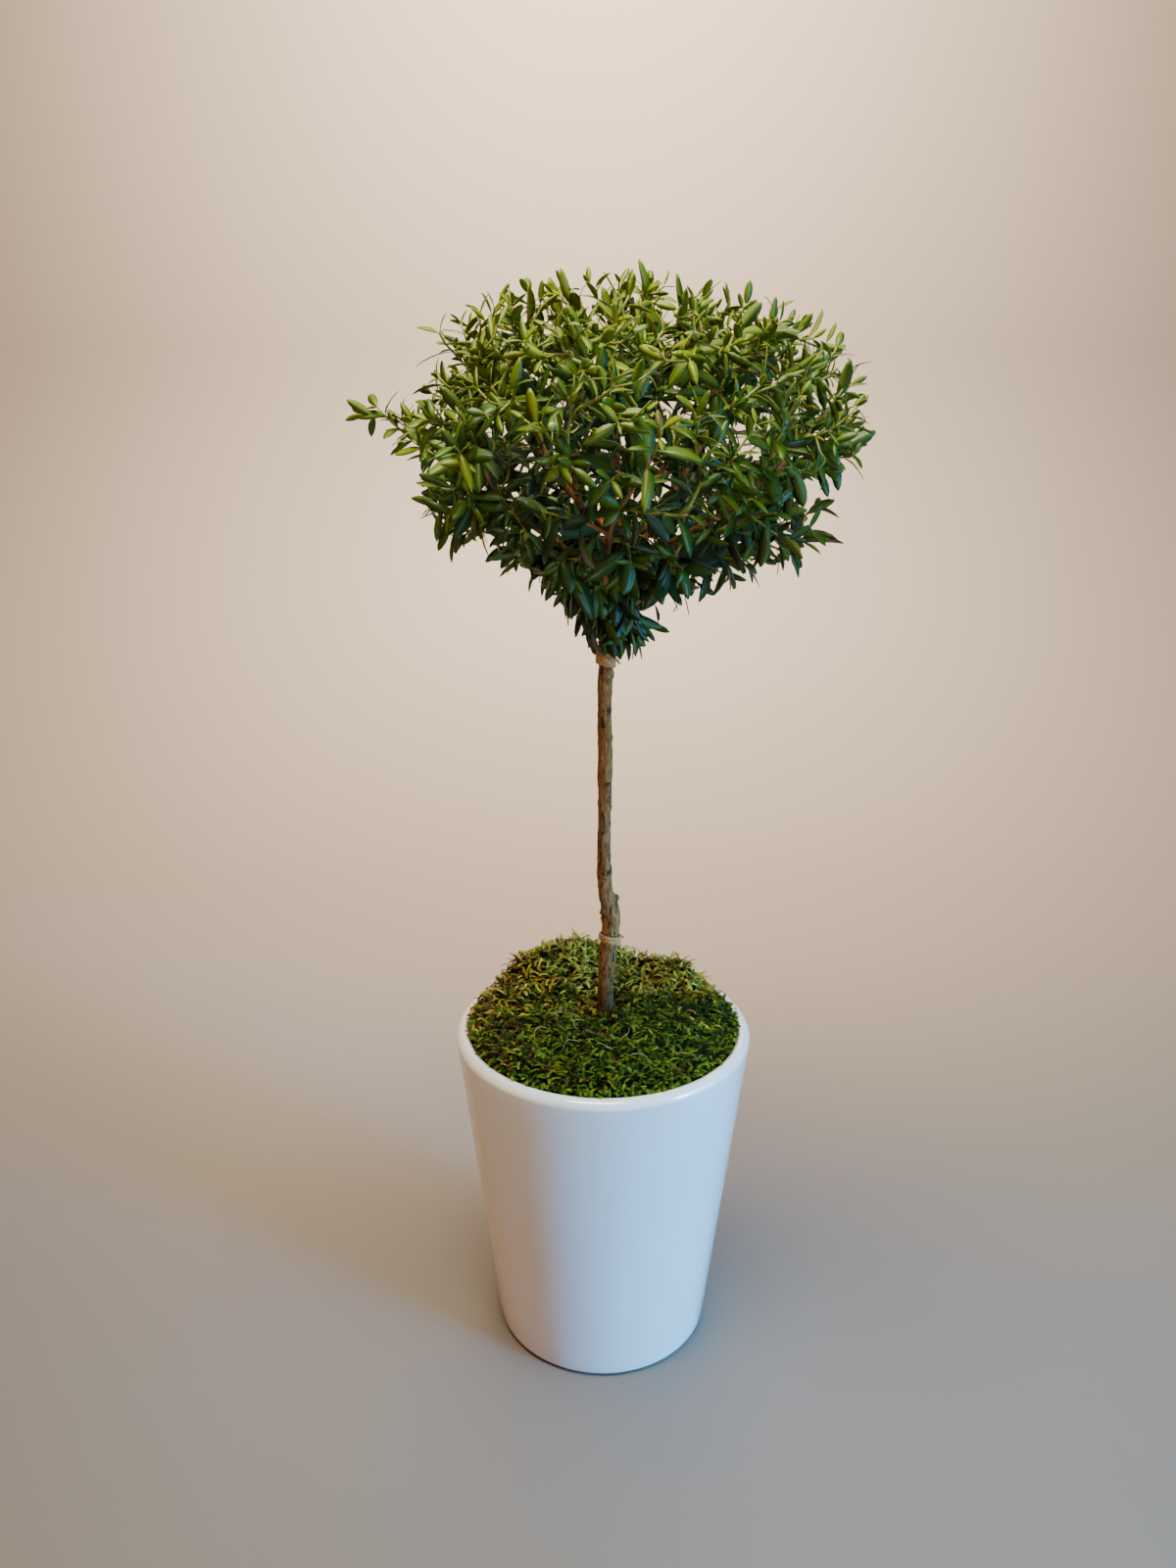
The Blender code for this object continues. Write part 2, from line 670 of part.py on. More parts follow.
def keep_largest(mesh):
    """Drops every loose scrap and every sealed hollow that the union left, each a shell of its own."""
    shape = bmesh.new()
    shape.from_mesh(mesh)
    unseen = set(shape.faces)
    shells = []
    while unseen:
        shell = []
        front = [unseen.pop()]
        while front:
            face = front.pop()
            shell.append(face)
            for edge in face.edges:
                for beside in edge.link_faces:
                    if beside in unseen:
                        unseen.remove(beside)
                        front.append(beside)
        shells.append(shell)
    largest = max(shells, key=len)
    drop = [face for shell in shells if shell is not largest for face in shell]
    bmesh.ops.delete(shape, geom=drop, context="FACES")
    shape.to_mesh(mesh)
    shape.free()


def fuse(base, pieces):
    """Joins the pieces to the base by one Boolean union on a collection, and removes them."""
    group = bpy.data.collections.new("pieces")
    for piece in pieces:
        bpy.context.scene.collection.objects.unlink(piece)
        group.objects.link(piece)
    union = base.modifiers.new("union", "BOOLEAN")
    union.operation = "UNION"
    union.operand_type = "COLLECTION"
    union.collection = group
    union.solver = "MANIFOLD"
    graph = bpy.context.evaluated_depsgraph_get()
    mesh = bpy.data.meshes.new_from_object(base.evaluated_get(graph))
    base.modifiers.clear()
    base.data = mesh
    for piece in pieces:
        bpy.data.objects.remove(piece)
    bpy.data.collections.remove(group)
    keep_largest(mesh)


def make_mass(mass, root, leaving, limbs):
    """One mass of foliage: a stem, its twigs and their leaves, fused into one solid."""
    rng = random.Random(f"{SEED} {mass['name']}")
    tips = shoot_tips(mass, SHOOTS[mass["tier"]], rng)
    twigs = grow_twigs(root, leaving, tips, mass, limbs)
    parts = []
    leaf_count = 0
    for number, twig in enumerate(twigs):
        base_radius = TWIG_RADIUS if number else STEM_RADIUS
        last = len(twig) - 1
        radii = [base_radius * (1 - (1 - TWIG_TIP_SHARE) * index / last) for index in range(last + 1)]
        parts.append(add_object(mass["name"] + f"_twig_{number}", tube(twig, radii, TWIG_SIDES), "foliage"))
        for corners in leaves_of(twig, rng.uniform(0, math.pi), rng, mass, limbs):
            leaf_count += 1
            parts.append(add_object(mass["name"] + f"_leaf_{leaf_count}", leaf_shape(corners), "foliage"))
    base = parts[0]
    base.name = mass["name"]
    fuse(base, parts[1:])
    return leaf_count


def make_crown(limbs):
    """All boughs first, so that the foliage can keep clear of them, and then the masses."""
    masses = plan_masses()
    stems = []
    boughs = 0
    for mass in masses:
        tier, index = mass["tier"], mass["index"]
        if tier == "crest":
            root = trunk_point(TRUNK_TIP) + UP * GAP
            heading = (trunk_point(TRUNK_TIP) - trunk_point(TRUNK_TIP - 5 * MM)).normalized()
            stems.append((mass, root, heading))
            continue
        # Neighbours in bearing leave the trunk well apart in height
        level = index * LEVEL_STEP[tier] % TIERS[tier][0]
        height = BOUGHS_FROM[tier] + level * BOUGH_SPACING
        path = bough_path(height, mass["bearing"], mass, BOUGH_BASE_RADIUS)
        last = len(path) - 1
        taper = (BOUGH_BASE_RADIUS - BOUGH_TIP_RADIUS) / last
        radii = [BOUGH_BASE_RADIUS - taper * step for step in range(last + 1)]
        boughs += 1
        add_object(f"bough_{boughs}", tube(path, radii, BOUGH_SIDES), "bark", smooth_angle=60)
        limbs.append((path, radii))
        heading = (path[-1] - path[-2]).normalized()
        stems.append((mass, path[-1] + heading * GAP, heading))
    leaves = sum(make_mass(mass, root, leaving, limbs) for mass, root, leaving in stems)
    print(f"{boughs} boughs, {len(masses)} masses of foliage, {leaves} leaves")


def main():
    for old in list(bpy.data.objects):
        bpy.data.objects.remove(old)
    make_pot()
    make_soil()
    make_moss()
    limbs = make_trunk()
    for name, low, strand, strands in TIES:
        make_tie(name, low, strand, strands)
    make_crown(limbs)


main()
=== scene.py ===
# %% [markdown]
# # A potted myrtle standard
#
# A myrtle standard is a small-leaved evergreen that has been trained on one bare stem, with its head
# clipped loosely round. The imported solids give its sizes: the pot, the stem, the boughs, and the space
# that each mass of foliage keeps. This lesson dresses them. It grows the crown again by the same rule
# as the solids, with many more and finer shoots, and it gives glaze, bark, moss and raffia the detail
# that they have in the hand.
#
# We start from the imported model. Everything is in metres, with +Z up and the origin under the middle of
# the pot.

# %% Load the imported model
import math
import random

import bpy
import numpy as np
from mathutils import Matrix, Vector, noise


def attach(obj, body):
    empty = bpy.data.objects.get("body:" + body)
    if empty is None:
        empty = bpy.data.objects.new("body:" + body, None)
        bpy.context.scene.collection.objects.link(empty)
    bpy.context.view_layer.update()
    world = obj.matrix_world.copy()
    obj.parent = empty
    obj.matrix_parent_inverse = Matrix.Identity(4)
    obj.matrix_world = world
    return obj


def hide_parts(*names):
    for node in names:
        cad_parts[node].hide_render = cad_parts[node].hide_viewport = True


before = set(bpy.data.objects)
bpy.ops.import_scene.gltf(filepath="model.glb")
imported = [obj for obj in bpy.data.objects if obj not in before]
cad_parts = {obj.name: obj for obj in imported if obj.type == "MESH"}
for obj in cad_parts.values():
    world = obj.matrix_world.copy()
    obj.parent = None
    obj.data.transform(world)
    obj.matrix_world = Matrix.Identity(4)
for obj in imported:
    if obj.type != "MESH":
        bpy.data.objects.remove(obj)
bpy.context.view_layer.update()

MM = 0.001
SEED = 20
UP = Vector((0, 0, 1))
GOLDEN_ANGLE = math.pi * (3 - math.sqrt(5))

# %% [markdown]
# ## The camera
#
# The photograph was taken with a phone's wide lens, held a little above the crown and tipped down. The
# two ellipses of the pot and the slope of its sides fix the height, the distance and the tilt, so the
# camera is written down from those and never moved by eye. A wide lens close by makes the crown look
# large against the pot, which a long lens would not show.

# %% Place the camera
CAMERA_PLACE = Vector((-7.1, -513.0, 448.0)) * MM
CAMERA_TILT = math.radians(18.02)
LENS_MM = 27.74
SENSOR_MM = 36.0

lens = bpy.data.cameras.new("camera")
lens.lens = LENS_MM
lens.sensor_width = SENSOR_MM
camera = bpy.data.objects.new("camera", lens)
camera.location = CAMERA_PLACE
camera.rotation_euler = (math.pi / 2 - CAMERA_TILT, 0, 0)
bpy.context.scene.collection.objects.link(camera)
bpy.context.scene.camera = camera
print("camera", round(CAMERA_PLACE.length, 3), "m from the foot of the pot")

# %% [markdown]
# ## Floor and light
#
# The floor is one plain pale sheet that curves up behind the plant, so that no edge shows. A flat floor
# and a wall would meet in a line, and the eye would follow that line and not the plant.

# %% Make the floor
FLOOR_HALF = 1.6
BACKDROP_TOP = 1.8
SWEEP_START = 0.55
SWEEP_RADIUS = 0.5
SWEEP_STEPS = 16


def sweep_profile():
    """The floor's side view: flat to the front, then a quarter circle up behind the plant."""
    points = [(-FLOOR_HALF, 0.0)]
    for step in range(SWEEP_STEPS + 1):
        turn = math.pi / 2 * step / SWEEP_STEPS
        back = SWEEP_START + SWEEP_RADIUS * math.sin(turn)
        points.append((back, SWEEP_RADIUS * (1 - math.cos(turn))))
    points.append((SWEEP_START + SWEEP_RADIUS, BACKDROP_TOP))
    return points


floor_mesh = bpy.data.meshes.new("floor")
side_view = sweep_profile()
corners = [(x, y, z) for y, z in side_view for x in (-FLOOR_HALF, FLOOR_HALF)]
strips = [(2 * i, 2 * i + 1, 2 * i + 3, 2 * i + 2) for i in range(len(side_view) - 1)]
floor_mesh.from_pydata(corners, [], strips)
floor_mesh.shade_smooth()
floor = bpy.data.objects.new("floor", floor_mesh)
bpy.context.scene.collection.objects.link(floor)
print("the floor rises to", BACKDROP_TOP, "m behind the plant")

# %% [markdown]
# A white pot takes the colour of whatever lights it, so the room's two colours have to be right: warm
# lamplight from the left and cool window light from the right. Each is a soft panel, because a glossy
# glaze shows a bare lamp as a hard spot. A panel overhead lights the crown and the moss, a faint one in
# front opens the shade, and a distant one with a narrow beam cools the pot's lower right without
# reaching the leaves. One from behind edges the leaves, and the last washes the backdrop.

# %% Set the lights


def add_light(name, place, aim, size, watts, colour, spread=180):
    """A square panel of light that faces a point, with its beam's full angle in degrees."""
    panel = bpy.data.lights.new(name, "AREA")
    panel.spread = math.radians(spread)
    panel.shape = "RECTANGLE"
    panel.size = size
    panel.size_y = size
    panel.energy = watts
    panel.color = colour
    holder = bpy.data.objects.new(name, panel)
    holder.location = place
    holder.rotation_euler = (Vector(aim) - Vector(place)).to_track_quat("-Z", "Y").to_euler()
    bpy.context.scene.collection.objects.link(holder)


HEAD = (0, 0, 0.4)
POT_MIDDLE = (0, 0, 0.15)
POT_LOW = (0, 0, 0.03)
add_light("lamp_side", (-0.95, -0.45, 0.6), HEAD, 0.6, 2.4, (1.0, 0.40, 0.09))
add_light("lamp_low", (-0.40, -0.14, 0.13), POT_LOW, 0.2, 0.05, (1.0, 0.34, 0.07), spread=70)
add_light("window_side", (0.9, -0.33, 0.45), POT_MIDDLE, 0.5, 14, (0.20, 0.58, 1.0))
add_light("window_low", (1.02, -0.63, 0.36), POT_LOW, 0.4, 1.6, (0.12, 0.46, 1.0), spread=20)
add_light("overhead", (-0.05, -0.20, 1.05), HEAD, 0.36, 19, (1.0, 0.93, 0.72))
add_light("front_fill", (0.10, -0.75, 0.22), HEAD, 0.3, 0.17, (1.0, 0.97, 0.88), spread=36)
add_light("behind", (0.2, 0.8, 0.9), HEAD, 0.6, 3, (1.0, 0.93, 0.80))
add_light("backdrop_wash", (0.0, 0.25, 1.5), (0, 1.05, 0.6), 0.6, 72, (1.0, 0.79, 0.59), spread=100)

world = bpy.data.worlds.new("room")
world.use_nodes = True
room = world.node_tree.nodes["Background"].inputs
room["Color"].default_value = (1.0, 0.86, 0.72, 1)
room["Strength"].default_value = 0.06
bpy.context.scene.world = world
print(len(bpy.data.lights), "light panels")

# %% [markdown]
# ## Shader sums as plain sums
#
# A procedural finish is mostly arithmetic on masks. It can be drawn by hand as a tree of nodes, but a
# big tree is hard to read and can't be called twice. Wrapping a socket in a small class lets that
# arithmetic be written as Python, and each sum adds its Math node.

# %% A socket that can be added and multiplied


class Value:
    """An output socket that takes part in sums."""

    def __init__(self, finish, socket):
        self.finish = finish
        self.socket = socket

    def sum_with(self, operation, first, second):
        return self.finish.node("ShaderNodeMath", {"operation": operation}, {0: first, 1: second})

    def __add__(self, other):
        return self.sum_with("ADD", self, other)

    def __sub__(self, other):
        return self.sum_with("SUBTRACT", self, other)

    def __rsub__(self, other):
        return self.sum_with("SUBTRACT", other, self)

    def __mul__(self, other):
        return self.sum_with("MULTIPLY", self, other)

    __radd__ = __add__
    __rmul__ = __mul__


print("sockets can be added and multiplied")

# %% [markdown]
# Everything else goes through one method that makes a node from its type, its settings and its inputs,
# so a finish reads from top to bottom like a recipe. All lengths in it are real lengths on the object,
# in metres: the size of a noise's patches, and the depth of a bump.

# %% A finish, and one way to add any node


class Finish:
    """A material with a Principled shader, and one way to add any node to it."""

    def __init__(self, name, **fixed):
        self.material = bpy.data.materials.new(name)
        self.material.use_nodes = True
        self.tree = self.material.node_tree
        self.shader = self.tree.nodes["Principled BSDF"]
        for label, value in fixed.items():
            self.feed(label.replace("_", " ").title().replace("Ior", "IOR"), value)

    def put(self, socket, value):
        if isinstance(value, Value):
            self.tree.links.new(value.socket, socket)
        elif isinstance(value, (tuple, list)) and socket.type == "RGBA":
            socket.default_value = (*value[:3], 1)
        else:
            socket.default_value = value

    def feed(self, label, value):
        """Sets or links one socket of the Principled shader."""
        self.put(self.shader.inputs[label], value)

    def node(self, kind, settings, inputs, output=0):
        made = self.tree.nodes.new(kind)
        for label, value in settings.items():
            if label == "stops":
                self.set_stops(made.color_ramp, value)
            else:
                setattr(made, label, value)
        for label, value in inputs.items():
            self.put(made.inputs[label], value)
        return Value(self, made.outputs[output])

    def set_stops(self, ramp, stops):
        while len(ramp.elements) < len(stops):
            ramp.elements.new(0.5)
        for element, (place, colour) in zip(ramp.elements, stops):
            element.position = place
            element.color = (*colour, 1)

    def place(self, stretch=(1, 1, 1)):
        """A point's place on the object, in metres, squeezed or stretched along X, Y and Z."""
        here = self.node("ShaderNodeTexCoord", {}, {}, "Object")
        return self.node("ShaderNodeVectorMath", {"operation": "MULTIPLY"}, {0: here, 1: stretch})

    def along(self, axis):
        """How far a point is along one axis, in metres."""
        return self.node("ShaderNodeSeparateXYZ", {}, {"Vector": self.place()}, axis)

    def noise(self, size, detail=3.0, rough=0.5, stretch=(1, 1, 1)):
        """Cloudy variation whose patches are about one size across."""
        inputs = {"Vector": self.place(stretch), "Scale": 1 / size, "Detail": detail, "Roughness": rough}
        return self.node("ShaderNodeTexNoise", {}, inputs, "Fac")

    def between(self, mask, low, high):
        """0 where the mask is under low, 1 over high, and smooth between."""
        inputs = {"Value": mask, "From Min": low, "From Max": high}
        return self.node("ShaderNodeMapRange", {"interpolation_type": "SMOOTHSTEP"}, inputs)

    def ramp(self, mask, stops):
        return self.node("ShaderNodeValToRGB", {"stops": stops}, {"Fac": mask})

    def mix(self, mask, first, second):
        """From the first colour where the mask is 0 to the second where it is 1."""
        return self.node("ShaderNodeMix", {"data_type": "RGBA"}, {0: mask, 6: first, 7: second}, 2)

    def bump(self, height, depth, strength=1.0):
        """Relief of a real depth in metres, fed to the shader's normal."""
        inputs = {"Height": height, "Distance": depth, "Strength": strength}
        self.feed("Normal", self.node("ShaderNodeBump", {}, inputs))


print("finishes ready")

# %% [markdown]
# The floor is the first and plainest finish: two pale tones that drift into each other over more than
# half a metre, as painted board does. One flat tone would do as well from here, but would look like cut
# paper.

# %% Finish the floor
floor_finish = Finish("plain_floor", roughness=0.65)
floor_tone = floor_finish.mix(floor_finish.noise(0.6), (0.142, 0.120, 0.099), (0.154, 0.132, 0.111))
floor_finish.feed("Base Color", floor_tone)
floor.data.materials.append(floor_finish.material)
print("floor finish has", len(floor_finish.tree.nodes), "nodes")

# %% [markdown]
# ## Shapes from rings
#
# The pot, the stem, the boughs, the twigs and the ties are all rings joined in a row. Curves with a
# bevel could make some of them, but not a stem with relief, so one function that joins rings of points
# serves them all. What differs is only where each ring lies and how its radius runs.

# %% Join rings and add pieces


def add_piece(name, points, faces, materials, replaced=(), slot=None, face_slots=None, smooth=True):
    """Makes a mesh object from points and faces, rides it on the plant's body and hides the solids it
    replaces.
    """
    mesh = bpy.data.meshes.new(name)
    mesh.from_pydata([tuple(point) for point in points], [], faces)
    for material in materials:
        mesh.materials.append(material)
    if face_slots is not None:
        mesh.polygons.foreach_set("material_index", face_slots)
    if smooth:
        mesh.shade_smooth()
    piece = bpy.data.objects.new(name, mesh)
    bpy.context.scene.collection.objects.link(piece)
    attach(piece, "root")
    if replaced:
        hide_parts(*replaced)
    return piece


def ring_faces(rings, sides, first=0, caps=True):
    """Faces that join a row of rings, each of the same number of points, with flat caps if asked."""
    faces = []
    for ring in range(rings - 1):
        low = first + ring * sides
        for side in range(sides):
            after = (side + 1) % sides
            faces.append((low + side, low + after, low + sides + after, low + sides + side))
    if caps:
        faces.append(tuple(first + side for side in reversed(range(sides))))
        faces.append(tuple(first + (rings - 1) * sides + side for side in range(sides)))
    return faces


print("shape helpers ready")

# %% [markdown]
# ## The pot
#
# The real pot is slip-cast earthenware under a thick white glaze. Two things make it read as glazed and
# not as plastic. The lip is a full round, because glaze pulls away from a sharp edge. And the gloss is
# a little uneven: the surface has a faint swell, as poured glaze has, so that a straight light shows as
# a slightly wandering streak. The solid pot has the right shape already, but its flats would break
# those streaks, so a finer turned pot replaces it.

# %% Turn the pot
POT_HEIGHT = 161.5 * MM
RIM_RADIUS = 70 * MM
FOOT_RADIUS = 51.5 * MM
WALL = 6.4 * MM
LIP_OUTSIDE = 3.8 * MM
LIP_INSIDE = 2.2 * MM
POT_FLOOR = 9 * MM
FOOT_ROUNDING = 4 * MM
FOOT_BAND = 2.2 * MM
WALL_STEPS = 12
POT_SEGMENTS = 128


def pot_radius(height, inset=0.0):
    """Radius of the pot's outer face at a height, or of a face that lies inside it."""
    return FOOT_RADIUS + (RIM_RADIUS - FOOT_RADIUS) * height / POT_HEIGHT - inset


def turned(profile, segments):
    """Points and faces of a profile of (radius, height) that starts and ends on the axis, turned round Z."""
    points = []
    for radius, height in profile[1:-1]:
        for segment in range(segments):
            turn = math.tau * segment / segments
            points.append((radius * math.cos(turn), radius * math.sin(turn), height))
    faces = ring_faces(len(profile) - 2, segments, caps=False)
    for end, ring in ((profile[0], 0), (profile[-1], len(profile) - 3)):
        points.append((0, 0, end[1]))
        hub = len(points) - 1
        for segment in range(segments):
            pair = (ring * segments + segment, ring * segments + (segment + 1) % segments)
            faces.append((*(pair if ring else pair[::-1]), hub))
    return points, faces


def arc(centre, radius, start, end, count):
    """Points of a circular arc in the (radius, height) plane, from start to end degrees."""
    points = []
    for step in range(count + 1):
        angle = math.radians(start + (end - start) * step / count)
        points.append((centre[0] + radius * math.cos(angle), centre[1] + radius * math.sin(angle)))
    return points


def pot_profile():
    """From the middle of the flat foot, up the outside, over the lip and down to the middle inside."""
    foot = pot_radius(FOOT_ROUNDING) - FOOT_ROUNDING
    outside = [(0, 0), (foot - FOOT_BAND, 0), (foot - FOOT_BAND / 2, 0)]
    outside += arc((foot, FOOT_ROUNDING), FOOT_ROUNDING, -90, -6, 8)
    heights = [POT_HEIGHT * step / WALL_STEPS for step in range(1, WALL_STEPS)]
    wall = [(pot_radius(height), height) for height in heights]
    lip = pot_radius(POT_HEIGHT - LIP_OUTSIDE) - LIP_OUTSIDE
    inner_lip = pot_radius(POT_HEIGHT - LIP_INSIDE, WALL) + LIP_INSIDE
    rim = arc((lip, POT_HEIGHT - LIP_OUTSIDE), LIP_OUTSIDE, -6, 90, 10)
    rim += arc((inner_lip, POT_HEIGHT - LIP_INSIDE), LIP_INSIDE, 90, 174, 7)
    inner_foot = pot_radius(POT_FLOOR + FOOT_ROUNDING, WALL) - FOOT_ROUNDING
    inside = arc((inner_foot, POT_FLOOR + FOOT_ROUNDING), FOOT_ROUNDING, -6, -90, 4)
    return outside + wall + rim + inside + [(0, POT_FLOOR)]


pot_points, pot_faces = turned(pot_profile(), POT_SEGMENTS)
print("pot:", len(pot_faces), "faces, rim", round(2 * RIM_RADIUS / MM), "mm across")

# %% [markdown]
# The glaze is white but never one white: it is a little warmer in some places than in others. Its gloss
# and its swell are noise of three sizes, and pinholes, where a bubble broke in the kiln, are the rare
# peaks of a fine noise. A coat over the glaze gives the second, sharper shine that glass has.

# %% Glaze the pot


def glaze():
    """White glaze: bright and hard, faintly clouded, with a slow swell and a few pinholes."""
    made = Finish("white_glaze", ior=1.52, coat_weight=0.6, coat_roughness=0.03)
    cloud = made.noise(60 * MM, 2.0)
    made.feed("Base Color", made.mix(cloud, (0.62, 0.615, 0.60), (0.67, 0.67, 0.655)))
    pinholes = made.between(made.noise(1.4 * MM, 1.0), 0.80, 0.84)
    made.feed("Roughness", 0.10 + 0.08 * made.noise(25 * MM, 3.0) + 0.3 * pinholes)
    swell = made.noise(14 * MM, 2.0) + 0.12 * made.noise(2.5 * MM, 2.0) - 0.2 * pinholes
    made.bump(swell, 0.25 * MM, 0.35)
    return made.material


glaze_material = glaze()
add_piece("glazed_pot", pot_points, pot_faces, [glaze_material], ["pot"], "glazed_white")
print("glaze has", len(glaze_material.node_tree.nodes), "nodes")

# %% [markdown]
# ## The soil
#
# The soil shows only as darkness between the shoots of moss. Its solid has the right shape, so it
# stays, and gets a finish: dark peat with paler crumbs of bark and grit, and a rough broken surface.

# %% Give the soil its finish


def peat():
    made = Finish("peat", roughness=0.95)
    crumbs = made.between(made.noise(2.2 * MM, 4.0, 0.65), 0.56, 0.66)
    made.feed("Base Color", made.mix(crumbs, (0.016, 0.010, 0.007), (0.075, 0.048, 0.030)))
    made.bump(made.noise(2.2 * MM, 5.0, 0.7), 1.2 * MM)
    return made.material


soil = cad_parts["soil"]
soil.data.materials.clear()
soil.data.materials.append(peat())
print("soil keeps its solid, with", len(soil.data.polygons), "faces")

# %% [markdown]
# ## The stem
#
# Old myrtle wood sheds its bark in narrow lengthwise flakes, tan where fresh wood shows and grey-brown
# where the bark is old. The stem has a swollen knuckle low down, where it was cut back and grew on from
# a side shoot, with a short stub at its upper right. It is made as one tube with very many rings. Each
# point's radius is the stem's own radius plus relief: long flakes, cracks between them, and knots where
# side shoots were rubbed off. Relief in the mesh, and not only in a bump, also shows at the stem's
# edges, where the eye reads it first.

# %% Course of the stem, as in the solids


def in_mm(rows):
    """Rows of numbers that are written in millimetres, as metres."""
    return [tuple(number * MM for number in row) for row in rows]


SOIL_BELOW_RIM = 10 * MM
GAP = 0.3 * MM
TRUNK_FOOT = POT_HEIGHT - SOIL_BELOW_RIM + GAP
TRUNK_TIP = 427 * MM
# Height, drift to the right, drift to the back, and radius
TRUNK_COURSE = [
    (TRUNK_FOOT, 0.9 * MM, 0.0, 7.0 * MM),
    *in_mm([
        (158.5, 1.0, 0.0, 4.9),
        (170, 1.1, 0.2, 3.7),
        (187, 1.6, 0.4, 3.8),
        (199, 2.2, 0.5, 4.05),
        (206, 2.9, 0.45, 4.0),
        (212, 3.6, 0.4, 4.05),
        (218, 3.4, 0.4, 4.2),
        (223, 2.6, 0.3, 3.9),
        (229, 1.1, 0.1, 3.4),
        (238, 0.4, 0.0, 3.3),
        (253, 0.2, -0.2, 2.9),
        (270, 0.3, -0.3, 3.0),
        (298, 0.5, 0.0, 3.25),
        (316, 0.2, 0.2, 2.95),
        (332, 0.5, 0.3, 3.2),
        (345, 0.45, 0.3, 2.95),
        (372, 1.2, 0.0, 2.7),
        (398, 2.6, 0.6, 2.1),
    ]),
    (TRUNK_TIP, 5.0 * MM, 0.0, 1.3 * MM),
]


def between_rows(rows, at):
    """Values read smoothly, by a Catmull-Rom curve, from rows whose first number rises."""
    last = len(rows) - 2
    index = next((i for i in range(last) if at < rows[i + 1][0]), last)
    low, high = rows[index], rows[index + 1]
    before = rows[max(index - 1, 0)]
    after = rows[min(index + 2, len(rows) - 1)]
    t = (at - low[0]) / (high[0] - low[0])
    values = []
    for a, b, c, d in zip(before[1:], low[1:], high[1:], after[1:]):
        bend = (2 * a - 5 * b + 4 * c - d) * t * t + (3 * b - a - 3 * c + d) * t**3
        values.append(b + ((c - a) * t + bend) / 2)
    return values


def trunk_point(height):
    drift_x, drift_y, _ = between_rows(TRUNK_COURSE, height)
    return Vector((drift_x, drift_y, height))


def trunk_radius(height):
    return between_rows(TRUNK_COURSE, height)[2]


print("stem from", round(TRUNK_FOOT / MM), "to", round(TRUNK_TIP / MM), "mm")

# %% [markdown]
# Knots are listed one by one, because the eye looks for them: each is a low mound with a sunken middle,
# given by its height, its bearing (0 is to the right, 90 to the back, and -90 faces the camera), its
# size and how far it stands out.

# %% Place the knots
# Height and bearing of each knot, its size, and how far it stands out, in millimetres and degrees
KNOTS = [
    (224.5, 25, 3.0, 2.7),
    (220.0, -150, 3.2, 1.3),
    (215.0, 170, 3.0, 1.1),
    (216.5, -75, 3.4, 0.8),
    (340.0, 0, 3.0, 0.9),
    (331.0, -10, 2.6, 0.9),
    (316.0, -50, 2.6, 0.6),
    (303.0, -40, 3.4, 0.8),
    (294.0, -140, 2.6, 0.5),
    (282.0, -60, 3.0, 0.7),
    (270.0, -15, 2.6, 0.5),
    (256.0, -110, 2.8, 0.6),
    (246.0, -40, 2.8, 0.5),
    (322.0, -110, 3.0, 0.6),
    (290.0, 80, 3.2, 0.8),
    (238.0, 110, 3.0, 0.7),
    (191.0, -60, 3.0, 0.5),
    (176.0, -110, 3.0, 0.4),
]


def knot_relief(height, bearing, radius):
    """How far the knots lift the bark there: a mound, with a dimple in each."""
    lift = 0.0
    for level, turn, size, rise in KNOTS:
        across = (bearing - math.radians(turn) + math.pi) % math.tau - math.pi
        away = math.hypot(height / MM - level, across * radius / MM) / size
        if away < 1.6:
            lift += rise * MM * (math.exp(-4.5 * away * away) - 0.45 * math.exp(-30 * away * away))
    return lift


print(len(KNOTS), "knots")

# %% [markdown]
# The flakes are noise that is stretched up the limb and read round it. Where the noise crosses zero
# lies a crack, because that line is thin and runs on and on, as the edge between two strips of bark
# does. A stem and a bough have the same flakes, and only their depth differs.

# %% Flakes and cracks


def ring_frames(path):
    """At each point of a path: the point, two directions square to the path, and the way ahead.

    The two directions turn as little as they can from ring to ring, so the tube isn't twisted.
    """
    frames = []
    side = None
    for index, point in enumerate(path):
        ahead = (path[min(index + 1, len(path) - 1)] - path[max(index - 1, 0)]).normalized()
        side = ahead.orthogonal() if side is None else side - ahead * side.dot(ahead)
        side.normalize()
        frames.append((point, side.copy(), ahead.cross(side), ahead))
    return frames


def bark_relief(point, bearing, radius, flake):
    """Flakes that are long up the limb and narrow round it, with a crack between two of them."""
    turned_x = math.cos(bearing) * radius / MM
    turned_y = math.sin(bearing) * radius / MM
    up = point.z / MM
    wander = 1.6 * noise.noise(Vector((turned_x * 0.3, turned_y * 0.3, up * 0.08)))
    strips = noise.noise(Vector((turned_x * 0.85 + wander, turned_y * 0.85, up * 0.13)))
    plates = noise.noise(Vector((turned_x * 0.5, turned_y * 0.5, up * 0.33 + 9)))
    crack = max(0.0, 1 - abs(strips) * 7)
    grain = noise.noise(Vector((turned_x * 2.6, turned_y * 2.6, up * 0.9)))
    return flake * (1.1 * strips + 0.7 * plates - 1.1 * crack + 0.35 * grain)


def bark_limb(path, radii, sides, flake, knots=False):
    """Points and faces of one limb with relief. Radii and path have the same length."""
    points = []
    for index, (centre, side, across, _) in enumerate(ring_frames(path)):
        radius = radii[index]
        for step in range(sides):
            turn = math.tau * step / sides
            out = side * math.cos(turn) + across * math.sin(turn)
            bearing = math.atan2(out.y, out.x)
            lift = bark_relief(centre, bearing, radius, flake)
            if knots:
                lift += knot_relief(centre.z, bearing, radius)
            points.append(centre + out * (radius + lift))
    return points, ring_faces(len(path), sides)


print("bark's relief ready")

